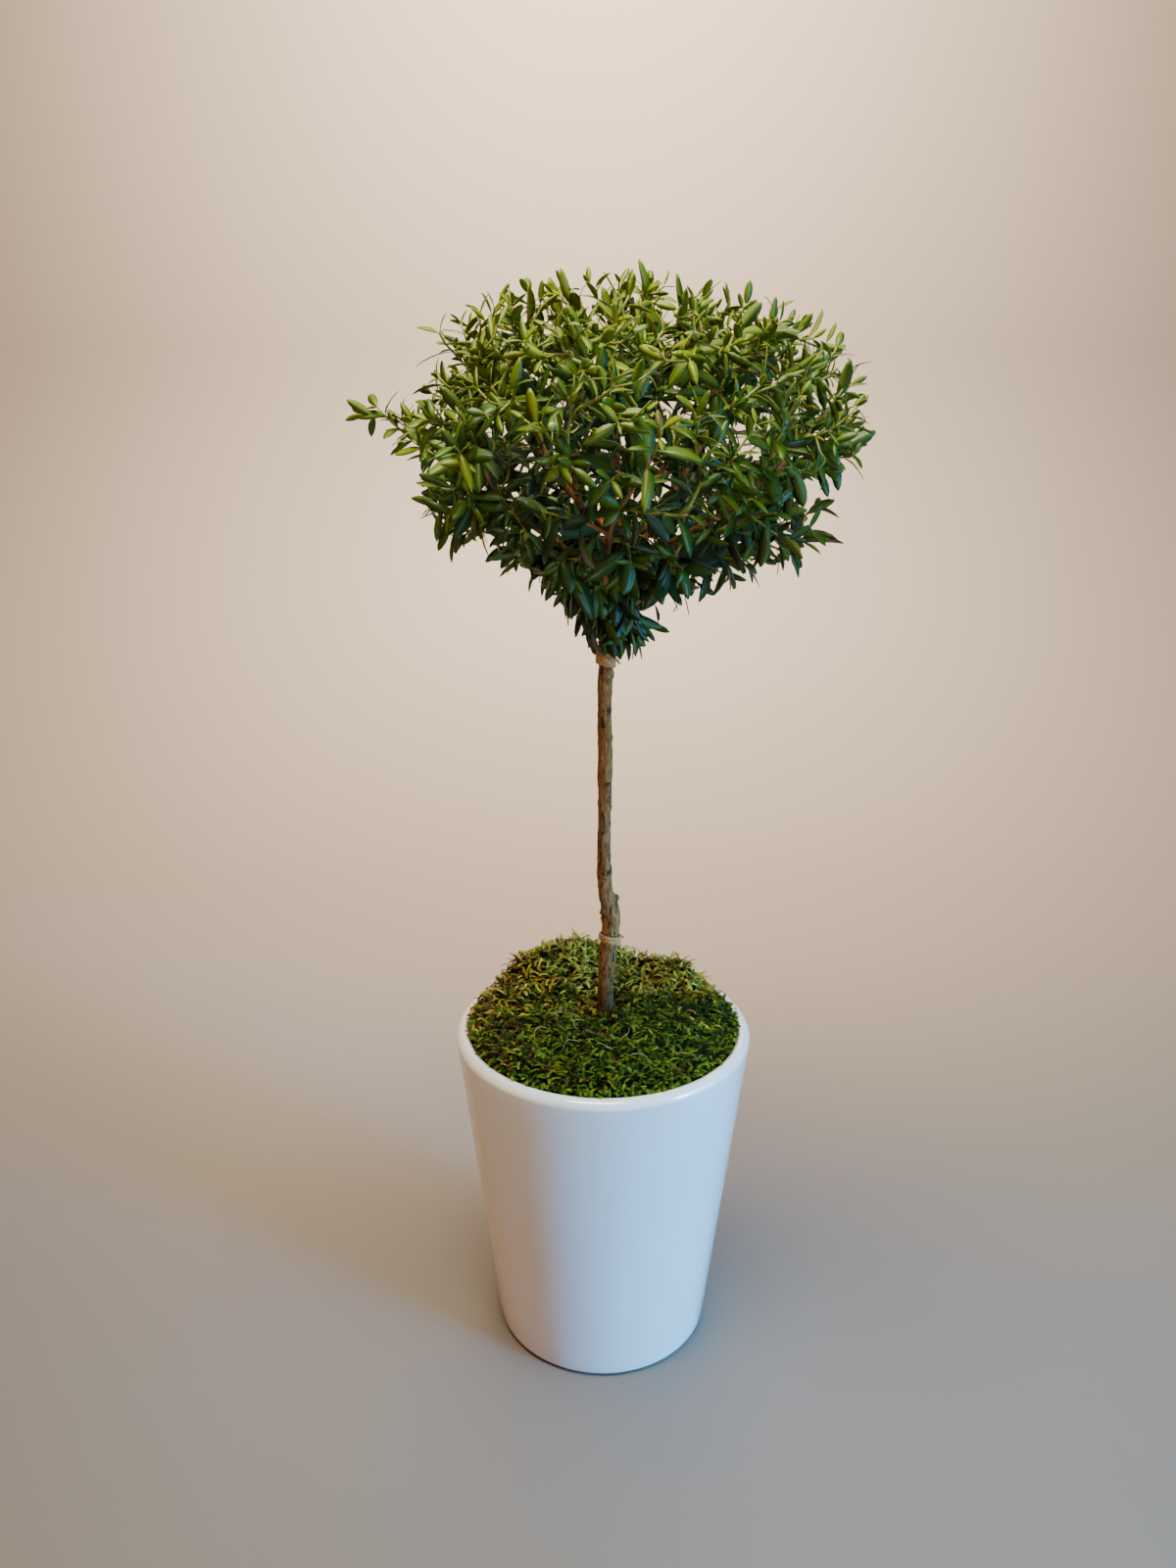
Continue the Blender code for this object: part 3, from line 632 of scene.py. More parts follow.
# %% [markdown]
# The bark's finish adds what is finer than the rings: the grain, the dark edges of the flakes, and the
# stain of damp just over the moss. Its noises are stretched along the limb, because the marks of wood
# run that way. The boughs get the same finish.

# %% Grow the stem
TRUNK_RING_STEP = 0.6 * MM
TRUNK_SIDES = 56
STEM_FLAKE = 0.34 * MM
DRY_ABOVE = 212 * MM


def bark():
    """Tan skin that splits into short flakes, dark at their edges, and damp and darker near the moss."""
    made = Finish("myrtle_bark", roughness=0.8, specular_ior_level=0.2)
    grain = made.noise(1.0 * MM, 4.0, 0.68, (1, 1, 0.28))
    patches = made.noise(7 * MM, 3.0, 0.55, (1, 1, 0.5))
    shreds = made.noise(1.9 * MM, 3.0, 0.6, (1, 1, 0.30))
    split = made.between(shreds, 0.565, 0.64)
    notch = made.between(made.noise(2.6 * MM, 2.0, 0.5, (0.35, 0.35, 1.6)), 0.67, 0.75)
    dark = made.between(split + notch, 0.05, 0.9)
    skin = made.ramp(grain, [(0.30, (0.076, 0.027, 0.006)), (0.46, (0.190, 0.077, 0.018)),
                             (0.62, (0.302, 0.136, 0.038)), (0.78, (0.408, 0.214, 0.078))])
    old = made.ramp(grain, [(0.30, (0.058, 0.025, 0.008)), (0.50, (0.160, 0.077, 0.026)),
                            (0.74, (0.306, 0.172, 0.068))])
    bare = made.mix(made.between(patches, 0.46, 0.66), skin, old)
    cracked = made.mix(dark, bare, (0.040, 0.018, 0.006))
    damp = 0.92 * made.between(made.along("Z"), DRY_ABOVE, POT_HEIGHT)
    made.feed("Base Color", made.mix(damp, cracked, (0.046, 0.015, 0.002)))
    made.feed("Roughness", 0.66 + 0.25 * grain)
    made.bump(grain - 1.1 * dark, 0.4 * MM, 0.9)
    return made.material


bark_material = bark()
ring_count = round((TRUNK_TIP - TRUNK_FOOT) / TRUNK_RING_STEP)
trunk_heights = [TRUNK_FOOT + (TRUNK_TIP - TRUNK_FOOT) * ring / ring_count for ring in range(ring_count + 1)]
trunk_path = [trunk_point(height) for height in trunk_heights]
trunk_radii = [trunk_radius(height) for height in trunk_heights]
stem_points, stem_faces = bark_limb(trunk_path, trunk_radii, TRUNK_SIDES, STEM_FLAKE, knots=True)
add_piece("stem_bark", stem_points, stem_faces, [bark_material], ["trunk"], "bark")
print("stem:", len(stem_faces), "faces of bark")

# %% [markdown]
# ## The ties
#
# Raffia is a strip of palm leaf: flat, ribbed along its length and never quite even. The lower tie is
# one narrow strip wound twice, the upper one a broader strip wound three times like a bandage. Each is
# a ribbon whose cross-section is a flat oval with ribs, swept along a slack, slightly tilted spiral
# round the stem. A short strap crosses it at the back right, and two loose ends stick out there.

# %% A bent path, and a ribbon along it
RIBBON_SIDES = 18
# How far a bent path's ends run nearly straight, as a share of the whole
HANDLE_SHARE = 0.35


def bent_path(start, leaving, end, arriving, step):
    """Points, about a step apart, of a smooth line that leaves start and reaches end in given directions."""
    reach = (end - start).length
    first = start + leaving * reach * HANDLE_SHARE
    second = end - arriving * reach * HANDLE_SHARE
    count = max(2, round(reach / step))
    points = []
    for index in range(count + 1):
        t = index / count
        s = 1 - t
        points.append(s**3 * start + 3 * s * s * t * first + 3 * s * t * t * second + t**3 * end)
    return points


def add_ribbon(store, path, outs, width, thickness, seed):
    """Sweeps a ribbed flat oval along a path. Outs are the directions in which its flat side faces."""
    points, faces = store
    first = len(points)
    for index, centre in enumerate(path):
        ahead = (path[min(index + 1, len(path) - 1)] - path[max(index - 1, 0)]).normalized()
        out = (outs[index] - ahead * outs[index].dot(ahead)).normalized()
        across = ahead.cross(out)
        taper = min(1.0, 0.45 + index * 0.2, 0.45 + (len(path) - 1 - index) * 0.2)
        for step in range(RIBBON_SIDES):
            turn = math.tau * step / RIBBON_SIDES
            rib = 1 + 0.30 * noise.noise(Vector((math.cos(turn) * 6, seed, index * 0.03)))
            wave = 1 + 0.14 * noise.noise(Vector((seed, index * 0.11, 3)))
            flat = across * math.cos(turn) * width / 2 * wave * taper
            points.append(centre + flat + out * math.sin(turn) * thickness * rib)
    faces += ring_faces(len(path), RIBBON_SIDES, first)


print("a ribbon has", RIBBON_SIDES, "sides")

# %% [markdown]
# A perfect spiral would look machined, so each turn is lifted and lowered a little by a slow noise, and
# the turns lie one over another by uneven amounts. The strap is straight but domed, and the loose ends
# droop.

# %% Wind the ties
# Name, lower edge, height, strip's width and thickness, turns, and the spiral's tilt
TIES = [
    ("tie_lower", 203.5 * MM, 4.8 * MM, 1.9 * MM, 0.55 * MM, 2, 1.3 * MM),
    ("tie_upper", 334.0 * MM, 7.8 * MM, 2.7 * MM, 0.45 * MM, 3, 1.3 * MM),
]
STEPS_A_TURN = 40
KNOT_BEARING = 1.2
STRAP_POINTS = 9


def wind_tie(low, height, width, thickness, turns, tilt, seed):
    """A spiral of one strip round the stem, a strap that crosses it at the back, and two loose ends."""
    store = ([], [])
    steps = STEPS_A_TURN * turns
    path, outs = [], []
    for step in range(steps + 1):
        turn = math.tau * turns * step / steps + KNOT_BEARING
        out = Vector((math.cos(turn), math.sin(turn), 0))
        slack = 0.25 * MM * noise.noise(Vector((step * 0.08, seed, 0)))
        level = low + width / 2 + (height - width) * step / steps - tilt * math.cos(turn - 0.3) + slack
        layer = thickness * (1.2 + 0.5 * math.sin(step * 0.7 / turns))
        path.append(trunk_point(level) + out * (trunk_radius(level) + 0.2 * MM + layer))
        outs.append(out)
    add_ribbon(store, path, outs, width, thickness, seed)
    out = Vector((math.cos(KNOT_BEARING), math.sin(KNOT_BEARING), 0))
    middle = low + height / 2
    clear = trunk_radius(middle) + 3.2 * thickness
    strap = []
    for step in range(STRAP_POINTS):
        share = 2 * step / (STRAP_POINTS - 1) - 1
        place = trunk_point(middle) + out * (clear + 0.7 * MM * (1 - share * share))
        strap.append(place + UP * share * height * 0.62)
    add_ribbon(store, strap, [out] * STRAP_POINTS, width * 0.8, thickness, seed + 1)
    side = Vector((-out.y, out.x, 0))
    for way in (1, -1):
        start = trunk_point(middle) + out * (clear + 0.3 * MM)
        end = start + side * way * 4 * MM + out * 2.5 * MM - UP * 3.5 * MM
        leaving = (side * way + out * 0.4).normalized()
        loose = bent_path(start, leaving, end, (out - UP).normalized(), 1.0 * MM)
        add_ribbon(store, loose, [out] * len(loose), width * 0.6, thickness * 0.8, seed + 2 + way)
    return store


tie_meshes = [wind_tie(*sizes, 7 + 5 * number) for number, (_, *sizes) in enumerate(TIES)]
print(len(TIES), "ties with", sum(len(faces) for _, faces in tie_meshes), "faces")

# %% [markdown]
# Raffia dries from green to straw in streaks that run along the strip, with the leaf's fibres standing
# out. The strips lie level round the stem, so noise that is squeezed in height gives both.

# %% Finish the ties


def raffia():
    """Dry palm strip: straw to tan in streaks, with fibres in its relief."""
    made = Finish("raffia", roughness=0.6, sheen_weight=0.15, specular_ior_level=0.35)
    streak = made.noise(1.1 * MM, 3.0, 0.6, (1, 1, 3.5))
    straw = [(0.32, (0.140, 0.055, 0.013)), (0.50, (0.340, 0.155, 0.040)), (0.70, (0.520, 0.290, 0.095))]
    made.feed("Base Color", made.ramp(streak, straw))
    made.bump(made.noise(0.35 * MM, 2.0, 0.5, (1, 1, 4)), 0.12 * MM, 0.8)
    return made.material


raffia_material = raffia()
for (name, *_), (points, faces) in zip(TIES, tie_meshes):
    add_piece(f"{name}_raffia", points, faces, [raffia_material], [name], "raffia")
print("raffia has", len(raffia_material.node_tree.nodes), "nodes")

# %% [markdown]
# ## The moss
#
# Sheet moss is laid over the soil in tufts. It isn't a smooth green dome: it is thousands of little
# shoots, each set with leaves along both sides and curled over at its end, over a dark bed. All of them
# need to know how high the moss is at any place. Its swell at the back, its dip at the stem and its low
# front edge follow the solid, with tufts and hollows on them.

# %% Height of the moss
MOSS_RISE = 10.5 * MM
MOSS_EDGE_RISE = 1.5 * MM
MOSS_DIP = 3 * MM
MOSS_DIP_SPREAD = 12 * MM
# Clumps and hollows: place to the right and to the back, spread, and rise
MOSS_CLUMPS = in_mm([
    (-8, 50, 22, 13),
    (-36, 40, 19, 12),
    (-56, 12, 14, 3),
    (24, 52, 12, 4.5),
    (43, 41, 16, 9.5),
    (56, 10, 14, 2),
    (12, 32, 11, -4),
    (8, -38, 22, 1.5),
])
MOSS_BASE = POT_HEIGHT - SOIL_BELOW_RIM + GAP
BRIM = pot_radius(POT_HEIGHT - WALL / 2, WALL) - 2 * GAP
# Size and rise of the tufts in three layers, and a number that sets each layer's pattern apart
TUFTS = [(27 * MM, 2.4, 5), (11 * MM, 4.2, 3), (4 * MM, 1.6, 8)]


def moss_height(x, y):
    """The solid's height there: a dome with a dip at the stem, and clumps, highest at the back."""
    distance = math.hypot(x, y)
    share = min(distance / pot_radius(POT_HEIGHT, WALL), 1.0)
    height = POT_HEIGHT + MOSS_EDGE_RISE + (MOSS_RISE - MOSS_EDGE_RISE) * (1 - share**3)
    height -= MOSS_DIP * math.exp(-((distance / MOSS_DIP_SPREAD) ** 2))
    for clump_x, clump_y, spread, rise in MOSS_CLUMPS:
        height += rise * math.exp(-((x - clump_x) ** 2 + (y - clump_y) ** 2) / spread**2)
    return height


def tuft_lift(x, y):
    """Tufts from 4 to 27 mm across, with hollows between them."""
    lift = 0.0
    for size, rise, layer in TUFTS:
        lift += rise * noise.noise(Vector((x / size, y / size, layer)))
    return lift * MM


def moss_level(x, y):
    """Height of the laid moss: the solid's with tufts on it, drawn down to the pot's lip at its edge."""
    level = moss_height(x, y) + tuft_lift(x, y)
    edge = max(0.0, math.hypot(x, y) / BRIM - 0.9) * 10
    return level + (POT_HEIGHT + MOSS_EDGE_RISE - level) * edge**2


moss_back = moss_level(0, 0.8 * BRIM) - POT_HEIGHT
print("moss stands", round(moss_back / MM, 1), "mm over the rim at its back")

# %% [markdown]
# The bed is what the eye meets between the shoots: old moss, painted nearly black with the shade that
# lies between the shoots. It lies a few millimetres under the moss's height, and is one sheet of rings
# that closes underneath.

# %% Lay the bed under the moss
BED_RINGS = 44
BED_SPOKES = 180
BED_SUNK = 3.4 * MM


def bed_finish():
    """Old moss with a little green, painted near-black with the shade between the shoots."""
    made = Finish("moss_bed", roughness=0.95, specular_ior_level=0.1)
    patch = made.noise(2.6 * MM, 4.0, 0.65)
    # Old moss darkened almost to black, as painted shade
    old_moss_and_shade = [(0.35, (0.004, 0.003, 0.001)), (0.52, (0.007, 0.009, 0.001)), (0.70, (0.020, 0.022, 0.003))]
    made.feed("Base Color", made.ramp(patch, old_moss_and_shade))
    made.bump(patch, 1.0 * MM)
    return made.material


bed_points, bed_faces = [], []
for ring in range(BED_RINGS + 1):
    for spoke in range(BED_SPOKES):
        bearing = math.tau * spoke / BED_SPOKES
        distance = BRIM * max(ring, 0.02) / BED_RINGS
        x, y = distance * math.cos(bearing), distance * math.sin(bearing)
        bed_points.append((x, y, moss_level(x, y) - BED_SUNK))
bed_points += [(x, y, MOSS_BASE) for x, y, _ in bed_points[-BED_SPOKES:]]
bed_faces = ring_faces(BED_RINGS + 2, BED_SPOKES)
add_piece("moss_bed", bed_points, bed_faces, [bed_finish()], ["moss"], "cushion_moss")
print("bed of moss:", len(bed_faces), "faces")

# %% [markdown]
# Old and new shoots grow side by side, so the tint goes by place, by clump and by chance, not by place
# alone. The back is dry, yellow and olive. The middle and the front are fresh, deep and lit greens.
# Dead brown shoots are mostly on the left.

# %% Tints of the moss
# Tint, colour, and the share of it that the shaded lower joints keep
MOSS_TINTS = [
    ("yellow", (0.460, 0.400, 0.040), 0.45),
    ("fresh", (0.056, 0.100, 0.005), 0.22),
    ("deep", (0.014, 0.032, 0.001), 0.22),
    ("olive", (0.235, 0.184, 0.019), 0.45),
    ("brown", (0.070, 0.034, 0.008), 0.3),
    ("lit", (0.102, 0.162, 0.008), 0.22),
]
# Share of dead shoots at the far left, in the middle, and on the right
BROWN_SHARES = (0.34, 0.08, 0.02)
# How dry a place is where all shoots are yellow or olive, and where fresh ones mix in
DRY_FROM = 0.55
HALF_DRY_FROM = 0.2
moss_rng = random.Random(SEED + 3)


def moss_tint(x, y, shift):
    """Which tint a shoot has, by its place, its clump and chance."""
    patch = noise.noise(Vector((x / (17 * MM), y / (17 * MM), 21)))
    dry = (-0.12 * x + 1.35 * y) / BRIM + shift + 0.75 * patch + moss_rng.uniform(-0.2, 0.2)
    chance = moss_rng.random()
    if chance < BROWN_SHARES[0 if x < -0.6 * BRIM else 1 if x < 0.2 * BRIM else 2]:
        return "brown"
    if dry > DRY_FROM:
        return "yellow" if chance < 0.45 + 0.4 * y / BRIM else "olive"
    if dry > HALF_DRY_FROM:
        return "yellow" if chance < 0.28 else "fresh" if chance < 0.55 else "olive"
    return "fresh" if chance < 0.46 else "deep" if chance < 0.84 else "lit"


print(len(MOSS_TINTS), "tints of moss")

# %% [markdown]
# Now the shoots. They could be hair, but the export needs meshes, so each is worked out as one. They
# stand in rosettes, upright in the heart and leaning out further from it, and a fringe of single ones
# leans over the pot's lip. The golden angle strews both the rosettes and the shoots in each, evenly and
# with no pattern that the eye can find.

# %% Strew the moss shoots
CLUMPS = 330
CLUMP_SHOOTS = 15
CLUMP_HALF = 3.7 * MM
FRINGE_SHOOTS = 620
MOSS_LENGTH = (4.3 * MM, 7.6 * MM)
MOSS_CURL = (0.7, 2.4)
MOSS_SWAY = 1.7
SHOOT_ROOM = 0.3 * MM
STEM_ROOM = 1.2 * MM
# Near the lip the shoots get shorter, by up to this share
LIP_BAND = 6 * MM
LIP_SHORTER = 0.45


def add_shoot(x, y, depth, lean, lift, shift):
    """Notes one shoot: its root in the bed, its lean, length, sway, lift and curl."""
    if math.hypot(x, y) > BRIM - SHOOT_ROOM:
        return
    base = Vector((x, y, moss_level(x, y) - depth))
    if (base - trunk_point(base.z)).length < trunk_radius(base.z) + STEM_ROOM:
        return
    edge = 1 - min((BRIM - math.hypot(x, y)) / LIP_BAND, 1.0)
    length = moss_rng.uniform(*MOSS_LENGTH) * (1 - LIP_SHORTER * edge)
    sway = moss_rng.uniform(-MOSS_SWAY, MOSS_SWAY)
    curl = moss_rng.uniform(*MOSS_CURL)
    shoot_rows[moss_tint(x, y, shift)].append((*base, lean, length, sway, lift, curl))


shoot_rows = {name: [] for name, _, _ in MOSS_TINTS}
# The rosettes
for number in range(CLUMPS):
    far = (BRIM - 1.5 * MM) * math.sqrt((number + 0.5) / CLUMPS)
    around = number * GOLDEN_ANGLE + moss_rng.uniform(-0.04, 0.04)
    sunk = moss_rng.uniform(0.9, 4.4) * MM
    shift = moss_rng.uniform(-0.3, 0.3)
    for shoot in range(CLUMP_SHOOTS):
        share = math.sqrt((shoot + 0.5) / CLUMP_SHOOTS)
        lean = around + shoot * GOLDEN_ANGLE
        x = far * math.cos(around) + share * CLUMP_HALF * math.cos(lean)
        y = far * math.sin(around) + share * CLUMP_HALF * math.sin(lean)
        lift = 0.25 + 0.65 * share + moss_rng.uniform(-0.2, 0.25)
        add_shoot(x, y, sunk + 1.2 * MM * share, lean + moss_rng.uniform(-0.5, 0.5), lift, shift)
# The fringe leans out over the pot's lip, all the way down to it
for number in range(FRINGE_SHOOTS):
    around = math.tau * number / FRINGE_SHOOTS + moss_rng.uniform(-0.01, 0.01)
    far = BRIM - moss_rng.uniform(0.4, 2.4) * MM
    lean = around + moss_rng.uniform(-1.3, 1.3)
    depth = moss_rng.uniform(0.6, 3.6) * MM
    add_shoot(far * math.cos(around), far * math.sin(around), depth, lean, moss_rng.uniform(0.3, 0.9), 0)
print(sum(len(rows) for rows in shoot_rows.values()), "shoots of moss")

# %% [markdown]
# A shoot is a stem that curls over, with a pair of leaflets at each joint and a third at its end. Each
# leaflet is a thin wedge of four triangles, which is enough at this size. Numpy bends all the shoots of
# one tint at once.

# %% Bend the shoots
MOSS_JOINTS = 6
# How many lower joints of a shoot get the darker tint, as painted shade
PAINTED_SHADE_JOINTS = 2
MOSS_STEM = 0.28 * MM
LEAFLET = 1.25 * MM
LEAFLET_HALF = 0.40 * MM
WEDGE_FACES = [(0, 1, 2), (0, 3, 1), (0, 2, 3), (1, 3, 2)]


def moss_mesh(rows):
    """Points and triangles of many shoots: a stem of three sides, and leaflets that are thin closed wedges.

    The last list says which triangles are on the shaded lower joints.
    """
    table = np.array(rows)
    base = table[:, None, 0:3]
    lean, length, sway, lift, curl = (table[:, None, column] for column in range(3, 8))

    def way_at(t):
        """The shoot's direction at each share of its length, and the level direction across it."""
        heading, tilt = lean + sway * t, lift + curl * t
        ahead = [np.sin(tilt) * np.cos(heading), np.sin(tilt) * np.sin(heading), np.cos(tilt)]
        return np.stack(ahead, axis=2), np.stack([-np.sin(heading), np.cos(heading), 0 * heading], axis=2)

    joints = np.arange(MOSS_JOINTS + 1)[None, :] / MOSS_JOINTS
    steps = way_at(joints[:, :-1] + 0.5 / MOSS_JOINTS)[0] * length[:, :, None] / MOSS_JOINTS
    spine = base + np.concatenate([0 * base, np.cumsum(steps, axis=1)], axis=1)
    ahead, side = way_at(joints)
    over = np.cross(side, ahead)
    t = joints[:, :, None]
    parts, faces, shaded = [], [], []
    for corner in range(3):
        turn = math.tau * corner / 3
        parts.append(spine + (side * math.cos(turn) + over * math.sin(turn)) * MOSS_STEM * (1.1 - 0.6 * t))
    stem_count = 3 * (MOSS_JOINTS + 1)
    points = [np.stack(parts, axis=2).reshape(len(rows), stem_count, 3)]
    for quad in ring_faces(MOSS_JOINTS + 1, 3):
        faces += [quad] if len(quad) == 3 else [quad[:3], (quad[0], quad[2], quad[3])]
    shaded += [int(min(face) < 3 * PAINTED_SHADE_JOINTS) for face in faces]
    first = stem_count
    for joint in range(1, MOSS_JOINTS + 1):
        for hand in (-1, 1, 0) if joint == MOSS_JOINTS else (-1, 1):
            root = spine[:, joint]
            way = ahead[:, joint] * (0.8 if hand else 1) + side[:, joint] * hand * 0.75
            way = way + over[:, joint] * 0.25
            way = way / np.linalg.norm(way, axis=1, keepdims=True)
            wide = np.cross(way, over[:, joint])
            size = LEAFLET * (1.15 - 0.4 * joint / MOSS_JOINTS)
            middle = root + way * size * 0.45 - over[:, joint] * 0.12 * MM
            wedge = [root, root + way * size, middle + wide * LEAFLET_HALF, middle - wide * LEAFLET_HALF]
            points.append(np.stack(wedge, axis=1))
            faces += [tuple(first + corner for corner in face) for face in WEDGE_FACES]
            shaded += [int(joint <= PAINTED_SHADE_JOINTS)] * 4
            first += 4
    points = np.concatenate(points, axis=1)
    corners = np.array(faces)[None, :, :] + (np.arange(len(rows)) * first)[:, None, None]
    return points.reshape(-1, 3), corners.reshape(-1, 3).tolist(), shaded * len(rows)


print("a shoot has", MOSS_JOINTS, "joints, and the lower", PAINTED_SHADE_JOINTS, "are shaded")

# %% [markdown]
# A shoot's lower joints sit in its neighbours' shade, so every tint has a darker finish for them, which
# paints that shade in, and the cushion gets its depth even where no shadow is sharp. Faces stay flat
# here, because each facet of a wedge then catches the light by itself, as a leaflet does.

# %% Tint the shoots


def moss_finish(name, colour):
    made = Finish(name, base_color=colour, specular_ior_level=0.08)
    made.feed("Roughness", 0.5 + 0.2 * made.noise(1.5 * MM))
    return made.material


for name, colour, dark in MOSS_TINTS:
    shade = tuple(dark * channel for channel in colour)
    finishes = [moss_finish(f"moss_{name}", colour), moss_finish(f"moss_{name}_shade", shade)]
    points, faces, shaded = moss_mesh(shoot_rows[name])
    add_piece(f"moss_{name}", points, faces, finishes, ["moss"], "cushion_moss", shaded, smooth=False)
    print("moss", name, len(shoot_rows[name]), "shoots,", len(faces), "triangles")

# %% [markdown]
# Bits of dry stalk always lie in laid moss. They are few, thin and pale, and they lie on top, so each
# is a curled tube that follows the surface.

# %% Drop dry stalks on the moss


def add_tube(store, path, radii, sides):
    """Adds one tube's points and faces to a pair of growing lists."""
    points, faces = store
    first = len(points)
    for index, (centre, side, across, _) in enumerate(ring_frames(path)):
        for step in range(sides):
            turn = math.tau * step / sides
            points.append(centre + (side * math.cos(turn) + across * math.sin(turn)) * radii[index])
    faces += ring_faces(len(path), sides, first)


STALKS = 14
STALK_STEPS = 12
stalk_store = ([], [])
for _ in range(STALKS):
    x, y = moss_rng.uniform(-0.75, 0.75) * BRIM, moss_rng.uniform(-0.8, 0.3) * BRIM
    heading = moss_rng.uniform(0, math.tau)
    bend = moss_rng.uniform(-0.28, 0.28)
    thread = []
    for step in range(STALK_STEPS):
        over = 1.6 * MM * math.sin(math.pi * (step + 1) / (STALK_STEPS + 1))
        if math.hypot(x, y) < BRIM - 2 * MM:
            thread.append(Vector((x, y, moss_level(x, y) + over - 0.4 * MM)))
        x += 0.95 * MM * math.cos(heading)
        y += 0.95 * MM * math.sin(heading)
        heading += bend
    if len(thread) > 4:
        add_tube(stalk_store, thread, [0.15 * MM] * len(thread), 5)
stalk_finish = Finish("dry_stalk", roughness=0.8)
straw_tone = stalk_finish.mix(stalk_finish.noise(3 * MM), (0.16, 0.09, 0.03), (0.40, 0.30, 0.14))
stalk_finish.feed("Base Color", straw_tone)
add_piece("moss_stalks", *stalk_store, [stalk_finish.material], ["moss"], "cushion_moss")
print(STALKS, "dry stalks")

# %% [markdown]
# ## The crown's plan
#
# The crown is planned as in the solids, so that what grows here keeps their outline. A ball would be
# the easy outline, but a loosely clipped head is flatter on top and hollow underneath. So it is a
# turned shape, read from a table of heights and radii, with a few slow waves round it and two dents.

# %% Outline of the crown
CROWN_AXIS_X = 9 * MM
# Height, and radius about the crown's own axis
CROWN_OUTLINE = in_mm([
    (343, 12),
    (356, 21),
    (368, 42),
    (379, 70),
    (392, 81),
    (409, 86),
    (425, 94),
    (438, 100),
    (452, 97),
    (463, 87),
    (473, 76),
    (481, 60),
    (487, 38),
    (491, 14),
])
CROWN_HEART = Vector((CROWN_AXIS_X, 0, 420 * MM))
# Lobes round the crown, share of the radius, and phase
CROWN_WAVES = [(2, 0.02, 0.4), (3, 0.025, 2.1), (5, 0.02, 4.0)]
CROWN_BEYOND = 140 * MM
HALVINGS = 18
# Places where the outline is drawn in: height, bearing in degrees, how far each spreads, and its share
CROWN_DENTS = [
    (457 * MM, 180, 15 * MM, 42, 0.17),
    (374 * MM, 205, 13 * MM, 60, 0.22),
]


def crown_radius(height, bearing):
    """Radius of the crown's outline about its own axis, or 0 above and below it."""
    if not CROWN_OUTLINE[0][0] <= height <= CROWN_OUTLINE[-1][0]:
        return 0.0
    index = next(i for i, row in enumerate(CROWN_OUTLINE[1:]) if height <= row[0])
    low, high = CROWN_OUTLINE[index], CROWN_OUTLINE[index + 1]
    radius = low[1] + (high[1] - low[1]) * (height - low[0]) / (high[0] - low[0])
    share = 1 + sum(size * math.sin(lobes * bearing + phase) for lobes, size, phase in CROWN_WAVES)
    for level, toward, tall, wide, depth in CROWN_DENTS:
        aside = (math.degrees(bearing) - toward + 180) % 360 - 180
        share -= depth * math.exp(-(((height - level) / tall) ** 2) - (aside / wide) ** 2)
    return radius * share


def depth_in_crown(point):
    """How far a point lies inside the crown's outline, in a straight line from the crown's heart."""
    ray = point - CROWN_HEART
    low, high = 0.0, CROWN_BEYOND / max(ray.length, MM)
    for _ in range(HALVINGS):
        middle = (low + high) / 2
        probe = CROWN_HEART + ray * middle - Vector((CROWN_AXIS_X, 0, 0))
        inside = math.hypot(probe.x, probe.y) < crown_radius(probe.z, math.atan2(probe.y, probe.x))
        low, high = (middle, high) if inside else (low, middle)
    return ray.length * (low - 1)


widest = max(radius for _, radius in CROWN_OUTLINE)
crown_height = CROWN_OUTLINE[-1][0] - CROWN_OUTLINE[0][0]
print("crown", round(2 * widest / MM), "mm across and", round(crown_height / MM), "mm tall")

# %% [markdown]
# The masses share the crown's space in four tiers: one on the stem's own tip, five above, seven round
# the widest part, and three underneath. What lies nearest to a mass's centre is that mass's own, so
# each grows without tangling in the next, and there is no border to draw.

# %% Masses of foliage
# How many masses, their centres' distance from the axis and height, and the first one's bearing
TIERS = {
    "crest": (1, 0 * MM, 474 * MM, 0),
    "upper": (5, 56 * MM, 461 * MM, 20),
    "outer": (7, 76 * MM, 417 * MM, 8),
    "under": (3, 30 * MM, 376 * MM, 75),
}


def plan_masses():
    masses = []
    for tier, (count, distance, height, first) in TIERS.items():
        for index in range(count):
            bearing = math.radians(first) + math.tau * index / count
            centre = Vector((CROWN_AXIS_X, 0, height))
            centre += Vector((math.cos(bearing), math.sin(bearing), 0)) * distance
            name = f"foliage_{tier}_{index + 1}" if count > 1 else f"foliage_{tier}"
            masses.append({"name": name, "tier": tier, "index": index, "bearing": bearing, "centre": centre})
    for mass in masses:
        mass["others"] = [other["centre"] for other in masses if other is not mass]
    return masses


def keeps_to_space(point, mass, clearance):
    """Whether a point is nearer to the mass's own centre than to any other, by a clearance."""
    own = mass["centre"]
    for other in mass["others"]:
        across = other - own
        if (point - own).dot(across) / across.length > across.length / 2 - clearance:
            return False
    return True


masses = plan_masses()
print(len(masses), "masses of foliage")

# %% [markdown]
# ## The boughs
#
# A bough leaves the stem with a lift, bends toward its mass's centre and ends where it enters the
# mass's space. Its course has to be the solid's own, because the masses start from its tip.

# %% Course of a bough
# The boughs of a tier leave the stem one above another, in an order that keeps neighbours apart
BOUGHS_FROM = {"under": 350 * MM, "outer": 360 * MM, "upper": 383 * MM}
BOUGH_SPACING = 3.1 * MM
LEVEL_STEP = {"under": 1, "outer": 3, "upper": 2}
BOUGH_LIFT = math.radians(32)
BOUGH_BASE_RADIUS = 1.6 * MM
BOUGH_TIP_RADIUS = 1.15 * MM
SHORTEST_BOUGH = 9 * MM


